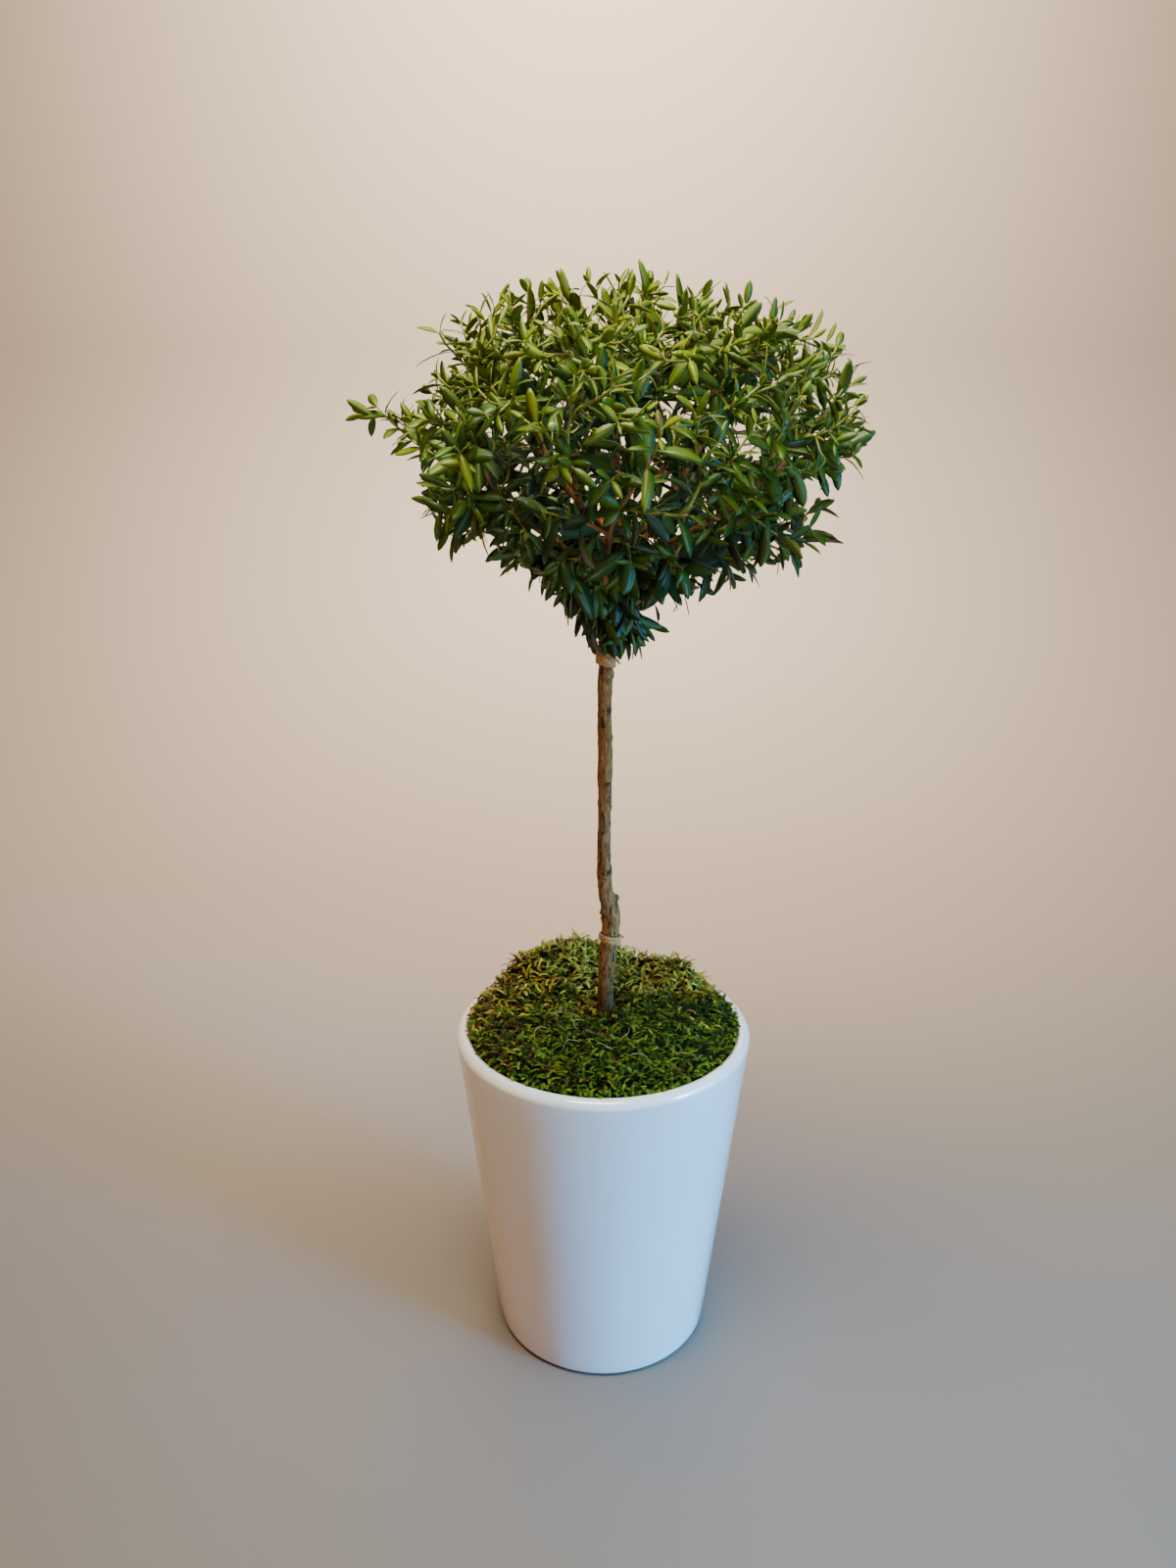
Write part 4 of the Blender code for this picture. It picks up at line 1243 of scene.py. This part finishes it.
def bough_path(height, mass):
    """The same curve as the solid's, as fine points."""
    out = Vector((math.cos(mass["bearing"]), math.sin(mass["bearing"]), 0))
    leaving = out * math.cos(BOUGH_LIFT) + UP * math.sin(BOUGH_LIFT)
    clear = trunk_radius(height) + GAP + BOUGH_BASE_RADIUS * math.sin(BOUGH_LIFT)
    start = trunk_point(height) + out * clear
    arriving = (mass["centre"] - start).normalized()
    whole = bent_path(start, leaving, mass["centre"], arriving, MM)
    entry = next(index for index, point in enumerate(whole) if keeps_to_space(point, mass, 2 * MM))
    return whole[: max(entry, round(SHORTEST_BOUGH / MM)) + 1], leaving


print("boughs leave the stem from", round(min(BOUGHS_FROM.values()) / MM), "mm up")

# %% [markdown]
# In the solids a bough stops a hair short of the stem. Wood grows on from wood, so here the tube starts
# inside the stem and swells where it joins, which is the collar that every branch has. The bark's
# relief is finer on a thinner limb.

# %% Grow the boughs out of the stem
BOUGH_SIDES = 14
BOUGH_FLAKE = 0.14 * MM
COLLAR_LENGTH = 5 * MM
COLLAR_SWELL = 0.9 * MM
# How deep in the stem the first two rings lie, in millimetres
ROOT_DEPTHS = (2.4, 1.2)


def thinned(values, step):
    """Every so many of a limb's values, and always the last."""
    return values[::step] + [values[-1]]


bough_points, bough_faces = [], []
limbs = [(thinned(trunk_path, 16), thinned(trunk_radii, 16))]
stems = []
for mass in masses:
    tier, index = mass["tier"], mass["index"]
    if tier == "crest":
        heading = (trunk_point(TRUNK_TIP) - trunk_point(TRUNK_TIP - 5 * MM)).normalized()
        stems.append((mass, trunk_point(TRUNK_TIP) + UP * GAP, heading))
        continue
    level = index * LEVEL_STEP[tier] % TIERS[tier][0]
    path, leaving = bough_path(BOUGHS_FROM[tier] + level * BOUGH_SPACING, mass)
    last = len(path) - 1
    narrowing = BOUGH_TIP_RADIUS - BOUGH_BASE_RADIUS
    radii = [BOUGH_BASE_RADIUS + narrowing * step / last for step in range(last + 1)]
    limbs.append((thinned(path, 6), thinned(radii, 6)))
    heading = (path[-1] - path[-2]).normalized()
    stems.append((mass, path[-1] + heading * GAP, heading))
    # The tube starts inside the stem, and a collar swells it where it comes out
    root = [path[0] - leaving * depth * MM for depth in ROOT_DEPTHS]
    fine = root + path + [path[-1] + heading * 2 * MM]
    along = 0.0
    swollen = []
    for place, point in enumerate(fine):
        along += (point - fine[place - 1]).length if place else 0.0
        core = radii[min(max(place - len(root), 0), last)]
        swollen.append(core + COLLAR_SWELL * math.exp(-((along / COLLAR_LENGTH) ** 2) * 3))
    points, faces = bark_limb(fine, swollen, BOUGH_SIDES, BOUGH_FLAKE)
    shift = len(bough_points)
    bough_points += points
    bough_faces += [tuple(corner + shift for corner in face) for face in faces]
bough_names = [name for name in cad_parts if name.startswith("bough_")]
add_piece("bough_bark", bough_points, bough_faces, [bark_material], bough_names, "bark")
print(len(bough_names), "boughs with", len(bough_faces), "faces of bark")

# %% [markdown]
# ## How a mass grows
#
# Each mass grows by the rule of the solids. Seeded shoot tips are strewn in its space, more than half
# of them close under the crown's outline. Then each tip, nearest first, is joined by a bent twig to the
# branchwork that has grown so far. That gives the fans of long thin twigs that a clipped myrtle has,
# with no drawing by hand. A twig ends turned to the light: outward low down, and nearly upright on the
# crown's top. It must never run through the stem or a bough, so first comes a way to measure that.

# %% Distance from a twig to the limbs


def clamp(value):
    return min(max(value, 0.0), 1.0)


def apart(a, b, c, d):
    """Least distance between the straight pieces a-b and c-d, and how far along c-d it is found."""
    u, v, w = b - a, d - c, a - c
    uu, uv, vv = u.dot(u), u.dot(v), v.dot(v)
    uw, vw = u.dot(w), v.dot(w)
    s = clamp((uv * vw - vv * uw) / max(uu * vv - uv * uv, 1e-20))
    t = clamp((uv * s + vw) / vv)
    s = clamp((uv * t - uw) / uu)
    return (a + u * s - c - v * t).length, t


def gap_to_limbs(a, b):
    """Distance from the straight piece a-b to the surface of the nearest limb."""
    nearest = 1.0
    for path, radii in limbs:
        for index in range(len(path) - 1):
            distance, share = apart(a, b, path[index], path[index + 1])
            nearest = min(nearest, distance - radii[index] - (radii[index + 1] - radii[index]) * share)
    return nearest


print("limbs to keep clear of:", len(limbs))

# %% [markdown]
# A few shoots are listed one by one, because a clipped head is never quite even: the furthest ones are in
# the solids too, and the late ones are thin single shoots that only this script has. Each table says
# where a shoot's last leaf ends, and the twig has to end one leaf short of it.

# %% Shoots listed one by one
# Places that a shoot's last leaf reaches, in the solids and here
FURTHEST_SHOOTS = in_mm([
    (-100, -4, 447),
    (-67, 6, 471),
    (-26, -8, 492),
    (38, 4, 492),
    (72, 2, 487),
    (100, -6, 456),
    (111, 3, 435),
    (18, -106, 441),
    (-14, 103, 449),
    (60, 84, 462),
    (12, 13, 348),
    (-10, -5, 347),
    (14, -11, 346),
    (1, -13, 344),
])
# The same for the late shoots, on both shoulders, along the top and at the far left
LATE_SHOOTS = in_mm([
    (-72, -4, 477),
    (-64, 8, 482),
    (-55, -2, 485),
    (-62, 30, 481),
    (60, 4, 489),
    (-107, 2, 444),
    (-47, 2, 489),
    (-34, -8, 493),
    (-20, 3, 497),
    (-8, -12, 497),
    (5, 5, 498),
    (17, -8, 496),
])
LAST_LEAF = 9.5 * MM


def outward(point):
    """The way that a shoot points there: away from the crown's heart, and turned up to the light."""
    return ((point - CROWN_HEART).normalized() + UP * 0.4).normalized()


def tips_for(places, mass, margin):
    """Tips from which a last leaf reaches each of the places that are the mass's own."""
    tips = [Vector(far) - outward(Vector(far)) * LAST_LEAF for far in places]
    return [tip for tip in tips if keeps_to_space(tip, mass, margin)]


print(len(FURTHEST_SHOOTS), "furthest shoots and", len(LATE_SHOOTS), "late ones")

# %% [markdown]
# All other shoots are strewn. A random place in the mass's space is kept if it lies at the right depth
# and well apart from all before it. The distance asked for shrinks a little with each try, so the
# strewing always comes to an end.

# %% Strew the other tips
MASS_REACH = 66 * MM
SHRINK = 0.997


def strew_tips(mass, count, rng, tips, spacing, inset, band, margin):
    """Adds seeded tips in the mass's space until there are enough, each well apart from all before it."""
    while len(tips) < count:
        spacing *= SHRINK
        reach = Vector((rng.uniform(-1, 1), rng.uniform(-1, 1), rng.uniform(-1, 1))) * MASS_REACH
        tip = mass["centre"] + reach
        depth = depth_in_crown(tip)
        if not inset < depth < inset + band * rng.random():
            continue
        if not keeps_to_space(tip, mass, margin):
            continue
        if all((tip - other).length > spacing for other in tips):
            tips.append(tip)


print("tips are sought up to", round(MASS_REACH / MM), "mm from a mass's centre, each way")

# %% [markdown]
# Joining the tips is a game of least effort. From each joint that the branchwork has so far, the next
# tip costs its distance, and more if the twig would have to turn. The cheapest joint wins. The twig
# then bends from its mother's course to the tip, or runs straight where the bend would leave the mass's
# space or touch a limb.

# %% Join the tips with twigs
TWIG_ROOM = 0.3 * MM
LIMB_ROOM = 0.8 * MM
TWIG_STEP = 5 * MM
STEM_COLLAR = 2.5 * MM
BEND_COST = 1.3
TURN_TO_TIP = 0.9
SHORTEST_TWIG = 3
RISE_OVER = 70 * MM


def rising(point):
    """The way that a twig ends there: outward, and more upright the higher it is."""
    rise = clamp((point.z - CROWN_HEART.z) / RISE_OVER)
    return (outward(point) + UP * 1.3 * rise).normalized()


def clear_run(start, points, mass):
    """The leading points of a path that stay in the mass's space, with each piece clear of the limbs."""
    kept = []
    for point in points:
        if not keeps_to_space(point, mass, TWIG_ROOM):
            break
        if gap_to_limbs(kept[-1] if kept else start, point) < LIMB_ROOM:
            break
        kept.append(point)
    return kept


def grow_twigs(root, leaving, tips, first_count, mass):
    """A list of twigs, each with its points and the twig it grew from."""
    early = tips[:first_count]
    first = max(early, key=lambda tip: (tip - root).dot(leaving))
    order = [first] + sorted((tip for tip in early if tip is not first), key=lambda tip: (tip - root).length)
    order += sorted(tips[first_count:], key=lambda tip: (tip - root).length)
    twigs = []
    joints = [(root, leaving, None)]
    for tip in order:

        def effort(joint):
            way = tip - joint[0]
            bend = 1 - joint[1].dot(way.normalized())
            return way.length * (1 + BEND_COST * bend)

        start, heading, mother = min(joints, key=effort)
        if twigs:
            begun = [start]
            heading = (heading + (tip - start).normalized() * TURN_TO_TIP).normalized()
        else:
            begun = [start, start + heading * STEM_COLLAR]
        bent = bent_path(begun[-1], heading, tip, rising(tip), TWIG_STEP)[1:]
        straight = [begun[-1].lerp(tip, step / len(bent)) for step in range(1, len(bent) + 1)]
        runs = [begun + clear_run(begun[-1], points, mass) for points in (bent, straight)]
        kept = max(runs, key=len)
        if len(kept) < SHORTEST_TWIG:
            continue
        if not twigs:
            joints = []
        twigs.append({"points": kept, "mother": mother, "load": 1, "mass": mass})
        for index in range(1, len(kept) - 1):
            joints.append((kept[index], (kept[index + 1] - kept[index - 1]).normalized(), len(twigs) - 1))
    for twig in reversed(twigs):
        if twig["mother"] is not None:
            twigs[twig["mother"]]["load"] += twig["load"]
    return twigs


print("a twig keeps", round(LIMB_ROOM / MM, 1), "mm from the limbs")

# %% [markdown]
# Now every mass grows. The order matters, because each new tip keeps its distance from those before it:
# the solids' own tips, then the late shoots, then the leafy shell under the outline, and last the twigs
# deep inside, which close the view through the crown without making it solid.

# %% Grow the masses
FIRST_SHOOTS = {"crest": 8, "upper": 7, "outer": 7, "under": 6}
ALL_SHOOTS = {"crest": 60, "upper": 54, "outer": 46, "under": 28}
SHELL_SHARE = 0.55
# Spacing, depth under the outline, that depth's range, and room to the next mass's space
FIRST_STREW = (30 * MM, 11 * MM, 13 * MM, 3 * MM)
SHELL_STREW = (17 * MM, 4 * MM, 15 * MM, 0.5 * MM)
DEEP_STREW = (16 * MM, 15 * MM, 56 * MM, 0.5 * MM)
FURTHEST_ROOM = 3 * MM
LATE_ROOM = 0.4 * MM


def grow_mass(mass, root, leaving):
    """All twigs of one mass: the solids' tips first, then the late ones, the shell's and the deeper ones."""
    rng = random.Random(f"{SEED} {mass['name']}")
    tips = tips_for(FURTHEST_SHOOTS, mass, FURTHEST_ROOM)
    first_count = FIRST_SHOOTS[mass["tier"]]
    all_count = ALL_SHOOTS[mass["tier"]]
    strew_tips(mass, first_count, rng, tips, *FIRST_STREW)
    tips += tips_for(LATE_SHOOTS, mass, LATE_ROOM)
    shell_count = first_count + round((all_count - first_count) * SHELL_SHARE)
    strew_tips(mass, shell_count, rng, tips, *SHELL_STREW)
    strew_tips(mass, all_count, rng, tips, *DEEP_STREW)
    return grow_twigs(root, leaving, tips, first_count, mass)


twigs = []
for mass, root, leaving in stems:
    twigs += grow_mass(mass, root, leaving)
print(len(twigs), "twigs")

# %% [markdown]
# Round the head of the stem, just over the upper tie, short old spurs carry a collar of dark leaves
# that hang down. They grow from the stem itself, so they get a rule of their own: a turn of the golden
# angle from each to the next, a way out that is longer the higher the spur is, and a bend down.

# %% Grow the collar's spurs
COLLAR_SPURS = 48
COLLAR_LOW, COLLAR_HIGH = 351 * MM, 390 * MM
SPUR_STEP = 2.5 * MM
collar_rng = random.Random(SEED + 2)
for spur in range(COLLAR_SPURS):
    height = COLLAR_LOW + (COLLAR_HIGH - COLLAR_LOW) * (spur + 0.5) / COLLAR_SPURS
    bearing = spur * GOLDEN_ANGLE
    out = Vector((math.cos(bearing), math.sin(bearing), 0))
    start = trunk_point(height) + out * (trunk_radius(height) - 0.4 * MM)
    reach = collar_rng.uniform(5, 9) * MM + (height - COLLAR_LOW) * (0.36 - 0.14 * math.cos(bearing))
    end = start + out * reach - UP * collar_rng.uniform(0, 4) * MM
    leaving, arriving = (out + UP * 0.5).normalized(), (out - UP * 0.9).normalized()
    spur_path = bent_path(start, leaving, end, arriving, SPUR_STEP)
    twigs.append({"points": spur_path, "mother": None, "load": 1, "mass": None})
print(COLLAR_SPURS, "spurs round the stem's head")

# %% [markdown]
# ## The twigs
#
# A twig is as thick as what it carries: its radius grows with the number of shoots beyond it. The last
# stretch of each is this year's growth, green and smooth, and what lies behind it has turned to
# red-brown wood. Those are two finishes, so all old wood is joined in one piece and all young wood in
# another, and each keeps its colour where it belongs without a mask.

# %% Make the twigs
YOUNG_LENGTH = 17 * MM
TIP_RADIUS = 0.42 * MM
LOAD_GROWTH = 0.38
OLD_SIDES = 6
YOUNG_SIDES = 5

young_wood, old_wood = ([], []), ([], [])
for twig in twigs:
    path = twig["points"]
    lengths = [0.0]
    for a, b in zip(path, path[1:]):
        lengths.append(lengths[-1] + (b - a).length)
    base = min(TIP_RADIUS * twig["load"] ** LOAD_GROWTH + 0.1 * MM, BOUGH_TIP_RADIUS)
    radii = [base + (TIP_RADIUS - base) * (at / lengths[-1]) ** 0.8 for at in lengths]
    turn_green = next(i for i, at in enumerate(lengths) if at > lengths[-1] - YOUNG_LENGTH)
    if turn_green > 1:
        add_tube(old_wood, path[: turn_green + 1], radii[: turn_green + 1], OLD_SIDES)
        add_tube(young_wood, path[turn_green:], radii[turn_green:], YOUNG_SIDES)
    else:
        add_tube(young_wood, path, radii, YOUNG_SIDES)


def twig_finish(name, dark, light, roughness):
    """Thin wood with a fine grain in its colour, gloss and relief."""
    made = Finish(name, specular_ior_level=0.4)
    grain = made.noise(0.8 * MM, 3.0)
    made.feed("Base Color", made.mix(grain, dark, light))
    made.feed("Roughness", roughness + 0.15 * grain)
    made.bump(grain, 0.08 * MM, 0.6)
    return made.material


red_wood = twig_finish("twig_red_brown", (0.100, 0.040, 0.014), (0.280, 0.140, 0.052), 0.55)
green_wood = twig_finish("twig_green", (0.100, 0.120, 0.010), (0.205, 0.200, 0.022), 0.45)
mass_names = [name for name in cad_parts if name.startswith("foliage_")]
add_piece("twigs_old", *old_wood, [red_wood], mass_names, "bark")
add_piece("twigs_young", *young_wood, [green_wood], mass_names, "foliage")
print("twig faces:", len(old_wood[1]), "old and", len(young_wood[1]), "young")

# %% [markdown]
# ## The leaves
#
# What makes the leaves of one plant differ is light and room. A spray on the crown's top and outside
# gets the most light and is the brightest: its leaves are partly the yellower green that leaves grow
# in the sun and partly painted light, and low and inner sprays are darkened with painted shade. A leaf
# that would leave the crown's outline by too much, wander into the next mass's space or touch the stem
# is left out. Both are measured from the crown's plan.

# %% Light and room for a leaf
INTO_NEXT_SPACE = 9 * MM
STEM_NEAR = 16 * MM
LEAF_ROOM = 0.5 * MM
LIGHT_DEPTH = 75 * MM
CROWN_LOW, CROWN_HIGH = CROWN_OUTLINE[0][0], CROWN_OUTLINE[-1][0]


def light_on(point):
    """How much light a spray gets, which its leaves' tint paints in: most on top, least below and deep
    within.
    """
    rise = (point.z - CROWN_LOW) / (CROWN_HIGH - CROWN_LOW)
    depth = max(depth_in_crown(point), 0.0)
    return clamp(rise * 1.1 - depth / LIGHT_DEPTH)


def leaf_fits(root, tip, overhang, mass):
    """Whether a leaf stays in the crown, near its mass's space, and off the stem."""
    if depth_in_crown(tip) < -overhang:
        return False
    if mass is not None and not keeps_to_space(tip, mass, -INTO_NEXT_SPACE):
        return False
    near_stem = math.hypot(tip.x, tip.y) < STEM_NEAR
    return not near_stem or gap_to_limbs(root.lerp(tip, 0.35), tip) > LEAF_ROOM


brightest = max(light_on(twig["points"][-1]) for twig in twigs)
print("light on the brightest spray:", round(brightest, 2))

# %% [markdown]
# Myrtle leaves sit in crossed pairs. At a shoot's end they are small, upright and yellow-green. Further
# back they are longer and darker and stand away from the twig, and under the crown they are longest and
# hang. Copies of one leaf on a scatter would all be alike, so we walk back along each twig from its
# tip, and write down a row of numbers for every leaf before any is made.

# %% Where each leaf grows
PAIR_SPACING_TIP = 4.4 * MM
PAIR_SPACING = 9.6 * MM
LEAF_LENGTH_LOW = 23 * MM
LEAF_LENGTH_HIGH = 17 * MM
COLLAR_LEAF = 17 * MM
LEAFY_LENGTH = 37 * MM
RIPE_AFTER = 15 * MM
# How far a leaf may stand out of the crown's outline: low down, at a high shoot's tip, and in the collar
OVERHANG = 3 * MM
TIP_OVERHANG = 16 * MM
COLLAR_OVERHANG = 9 * MM


def leaf_rows(twig, rng):
    """One twig's leaves, from its tip back: root, direction, upper side, length, width, arch and light."""
    rows = []
    path = twig["points"]
    light = light_on(path[-1]) + rng.uniform(-0.13, 0.13)
    turn = rng.uniform(0, math.pi)
    index = len(path) - 2
    used = 0.0
    back = 0.4 * MM
    leafy = LEAFY_LENGTH * rng.uniform(0.7, 1.2)
    while back < leafy and index >= 0:
        piece = (path[index + 1] - path[index]).length
        if back - used > piece:
            used += piece
            index -= 1
            continue
        ahead = (path[index + 1] - path[index]).normalized()
        root = path[index + 1] - ahead * (back - used)
        ripeness = clamp(back / RIPE_AFTER)
        rise = clamp((root.z - CROWN_LOW) / (CROWN_HIGH - CROWN_LOW))
        overhang = OVERHANG if rise < 0.3 else max(OVERHANG, TIP_OVERHANG - depth_in_crown(path[-1]))
        full = LEAF_LENGTH_LOW + (LEAF_LENGTH_HIGH - LEAF_LENGTH_LOW) * min(rise * 1.4, 1.0)
        young = 0.5 + 0.5 * ripeness
        droop = (0.15 - 1.5 * (1 - rise) ** 1.2) * ripeness
        if twig["mass"] is None:
            overhang, full, young, droop = COLLAR_OVERHANG, COLLAR_LEAF, 0.8 + 0.2 * ripeness, -1.5
        side = ahead.orthogonal().normalized()
        for half in (0, math.pi):
            out = Matrix.Rotation(turn + half + rng.uniform(-0.3, 0.3), 3, ahead) @ side
            length = full * young * rng.uniform(0.58, 1.14)
            spread = 0.5 + (1.0 - 0.45 * rise) * ripeness + rng.uniform(-0.2, 0.3)
            along = (ahead * 0.75 + out * spread + UP * droop * rng.uniform(0.5, 1.2)).normalized()
            upper = (ahead - along * ahead.dot(along)) + UP * 0.35
            upper = (upper - along * upper.dot(along)).normalized()
            upper = Matrix.Rotation(rng.uniform(-0.7, 0.7), 3, along) @ upper
            if not leaf_fits(root, root + along * length, overhang, twig["mass"]):
                continue
            width = length * (rng.uniform(0.31, 0.46) - 0.06 * min(rise * 1.4, 1.0))
            arch = rng.uniform(0.0, 0.55)
            rows.append((root, along, upper, length, width, arch, light + 0.3 * (1 - ripeness)))
        turn += math.pi / 2 + rng.uniform(-0.2, 0.2)
        back += (PAIR_SPACING_TIP + (PAIR_SPACING - PAIR_SPACING_TIP) * ripeness) * rng.uniform(0.85, 1.2)
    return rows


leaf_rng = random.Random(SEED)
leaves = [row for twig in twigs for row in leaf_rows(twig, leaf_rng)]
print(len(leaves), "leaves on", len(twigs), "twigs")

# %% [markdown]
# The leaf's own shape is a short table: how far along, and how wide there. It is widest about its
# middle and ends in a short point. Rings of four points (left edge, midrib above, right edge, midrib
# below) make one small closed mesh, folded a little along its midrib and arched back. Numpy works out
# thousands of them in one go.

# %% Shape of the leaves
# How far along the leaf, and how wide it is there
LEAF_OUTLINE = [(0.0, 0.10), (0.08, 0.20), (0.23, 0.68), (0.42, 0.98),
                (0.64, 0.97), (0.85, 0.68), (0.98, 0.18)]
LEAF_FOLD = 0.11
LEAF_THICKNESS = 0.22 * MM


def leaf_mesh(rows):
    """Points and faces of many leaves at once, and which side each face is on."""
    root, along, upper = (np.array([row[i] for row in rows], float)[:, None, :] for i in range(3))
    length, width, arch = (np.array([row[i] for row in rows], float)[:, None, None] for i in range(3, 6))
    across = np.cross(along, upper)
    rings = []
    for at, wide in LEAF_OUTLINE:
        middle = root + along * length * at - upper * arch * length * at * at
        edge = across * width * wide / 2
        raised = upper * width * wide / 2 * LEAF_FOLD
        rings += [middle - edge + raised, middle, middle + edge + raised, middle - upper * LEAF_THICKNESS]
    points = np.concatenate(rings, axis=1)
    count = points.shape[1]
    faces, sides = [], []
    for low in range(0, count - 4, 4):
        for column in range(4):
            after = (column + 1) % 4
            faces.append((low + column, low + after, low + 4 + after, low + 4 + column))
            sides.append(0 if column < 2 else 1)
    faces.append((0, 3, 2, 1))
    faces.append((count - 4, count - 3, count - 2, count - 1))
    sides += [1, 0]
    corners = np.array(faces)[None, :, :] + (np.arange(len(rows)) * count)[:, None, None]
    return points.reshape(-1, 3), corners.reshape(-1, 4).tolist(), sides * len(rows)


print("a leaf has", len(LEAF_OUTLINE), "rings of 4 points")

# %% [markdown]
# The upper and lower side of a leaf have their own finish, because the underside is paler and faintly
# blue; in the darkest tints it is a stronger teal, a painted reflection of the cool window light. A
# leaf's colour goes by its spray's light, with some scatter, which paints that light and shade into its
# one plain tint, so that the colour stays with the leaf and doesn't swim over the crown as a pattern in
# space would. The leaves of one tint are joined in one piece. A few anywhere are last year's, and those
# have turned to a brownish olive.

# %% Tint the leaves
OLD_LEAF_SHARE = 0.018
OLD_BELOW_LIGHT = 0.9
TINT_SCATTER = (-0.25, 0.30)
# The tints run from painted shade to painted light, by the light on each spray
# Tint: least light, upper side, underside
TINTS = [
    # The two darkest undersides lean to teal, a painted reflection of the cool window light
    ("shade", -9.0, (0.0085, 0.0235, 0.0046), (0.0220, 0.0640, 0.0460)),
    ("deep", 0.16, (0.0160, 0.0430, 0.0034), (0.0380, 0.0840, 0.0240)),
    ("grown", 0.38, (0.0250, 0.0620, 0.0014), (0.0500, 0.0900, 0.0080)),
    ("bright", 0.59, (0.0400, 0.0820, 0.0010), (0.0650, 0.1060, 0.0040)),
    ("fresh", 0.83, (0.0640, 0.1020, 0.0008), (0.0880, 0.1240, 0.0034)),
    ("tip", 1.04, (0.1030, 0.1400, 0.0010), (0.1280, 0.1620, 0.0040)),
]
# Last year's leaves, which are dealt out by chance
OLD_TINT = ("old", None, (0.075, 0.056, 0.009), (0.070, 0.062, 0.020))


def leaf_finish(name, colour, roughness, gloss):
    """One plain tint, with leathery relief and a roughness that varies a little."""
    made = Finish(name, base_color=colour, specular_ior_level=0.30, coat_weight=gloss, coat_roughness=0.25)
    vein = made.noise(1.1 * MM, 2.0)
    made.feed("Roughness", roughness + 0.14 * vein)
    made.bump(vein, 0.10 * MM, 0.5)
    return made.material


def tint_of(light):
    """The name of the brightest tint that the light is enough for."""
    return [name for name, least, *_ in TINTS if light >= least][-1]


leaves_of = {name: [] for name, *_ in TINTS + [OLD_TINT]}
for row in leaves:
    light = row[-1] + leaf_rng.uniform(*TINT_SCATTER)
    aged = leaf_rng.random() < OLD_LEAF_SHARE and light < OLD_BELOW_LIGHT
    leaves_of["old" if aged else tint_of(light)].append(row)
for name, _, top, under in TINTS + [OLD_TINT]:
    points, faces, sides = leaf_mesh(leaves_of[name])
    upper_side = leaf_finish(f"leaf_{name}", top, 0.38, 0.05)
    underside = leaf_finish(f"leaf_{name}_under", under, 0.6, 0.0)
    add_piece(f"leaves_{name}", points, faces, [upper_side, underside], mass_names, "foliage", sides)
    print(name, len(leaves_of[name]), "leaves,", 2 * len(faces), "triangles")

# %% [markdown]
# ## Flower buds
#
# Myrtle sets its flower buds in the upper leaf joints in summer: pale green beads on thin stalks, each
# with the little star of its five sepals. There are only a few, but they are what tells a myrtle from a
# box.

# %% Set the buds
BUD_COUNT = 14
BUD_LENGTH = 3.6 * MM
# Radius and height as shares of the bud's length
BUD_PROFILE = [(0.0, 0.0), (0.16, 0.05), (0.36, 0.22), (0.47, 0.45),
               (0.45, 0.66), (0.30, 0.84), (0.13, 0.92), (0.0, 0.95)]
BUD_SIDES = 10
SEPALS = 5
SEPAL_FACES = [(0, 1, 2), (1, 3, 2), (3, 0, 2), (0, 3, 1)]
bud_rng = random.Random(SEED + 1)


def add_bud(store, place, way):
    """A bead turned about its way, on a thin stalk, with five short sepals at its end."""
    points, faces = store
    first = len(points)
    turn_to = UP.rotation_difference(way).to_matrix()
    bead, bead_faces = turned([(r * BUD_LENGTH, h * BUD_LENGTH) for r, h in BUD_PROFILE], BUD_SIDES)
    points += [place + turn_to @ Vector(point) for point in bead]
    faces += [tuple(corner + first for corner in face) for face in bead_faces]
    for sepal in range(SEPALS):
        turn = math.tau * sepal / SEPALS
        out = Vector((math.cos(turn), math.sin(turn), 0))
        half = Vector((-math.sin(turn), math.cos(turn), 0)) * 0.4 * MM
        base = out * 0.22 * BUD_LENGTH + UP * 0.84 * BUD_LENGTH
        tip = base + out * 0.5 * MM + UP * 0.9 * MM
        first = len(points)
        corners = (base - half, base + half, tip, base + UP * 0.3 * MM)
        points += [place + turn_to @ corner for corner in corners]
        faces += [tuple(first + corner for corner in face) for face in SEPAL_FACES]


bud_store = ([], [])
topmost = [twig for twig in twigs if light_on(twig["points"][-1]) > 0.45 and len(twig["points"]) > 4]
for twig in bud_rng.sample(topmost, BUD_COUNT):
    joint = twig["points"][-3]
    heading = (twig["points"][-1] - joint).normalized()
    sideways = Matrix.Rotation(bud_rng.uniform(0, math.tau), 3, heading) @ heading.orthogonal().normalized()
    way = (heading * 0.6 + sideways).normalized()
    bud_place = joint + way * 4 * MM
    stalk = [joint, joint + way * 2 * MM, bud_place + way * 0.2 * MM]
    add_tube(bud_store, stalk, [0.25 * MM, 0.22 * MM, 0.3 * MM], 5)
    add_bud(bud_store, bud_place, way)
bud_finish = Finish("bud_green", roughness=0.5, coat_weight=0.2, coat_roughness=0.3)
bud_tone = bud_finish.mix(bud_finish.noise(1.5 * MM), (0.17, 0.27, 0.04), (0.30, 0.40, 0.10))
bud_finish.feed("Base Color", bud_tone)
add_piece("buds", *bud_store, [bud_finish.material], mass_names, "foliage")
print(BUD_COUNT, "buds")
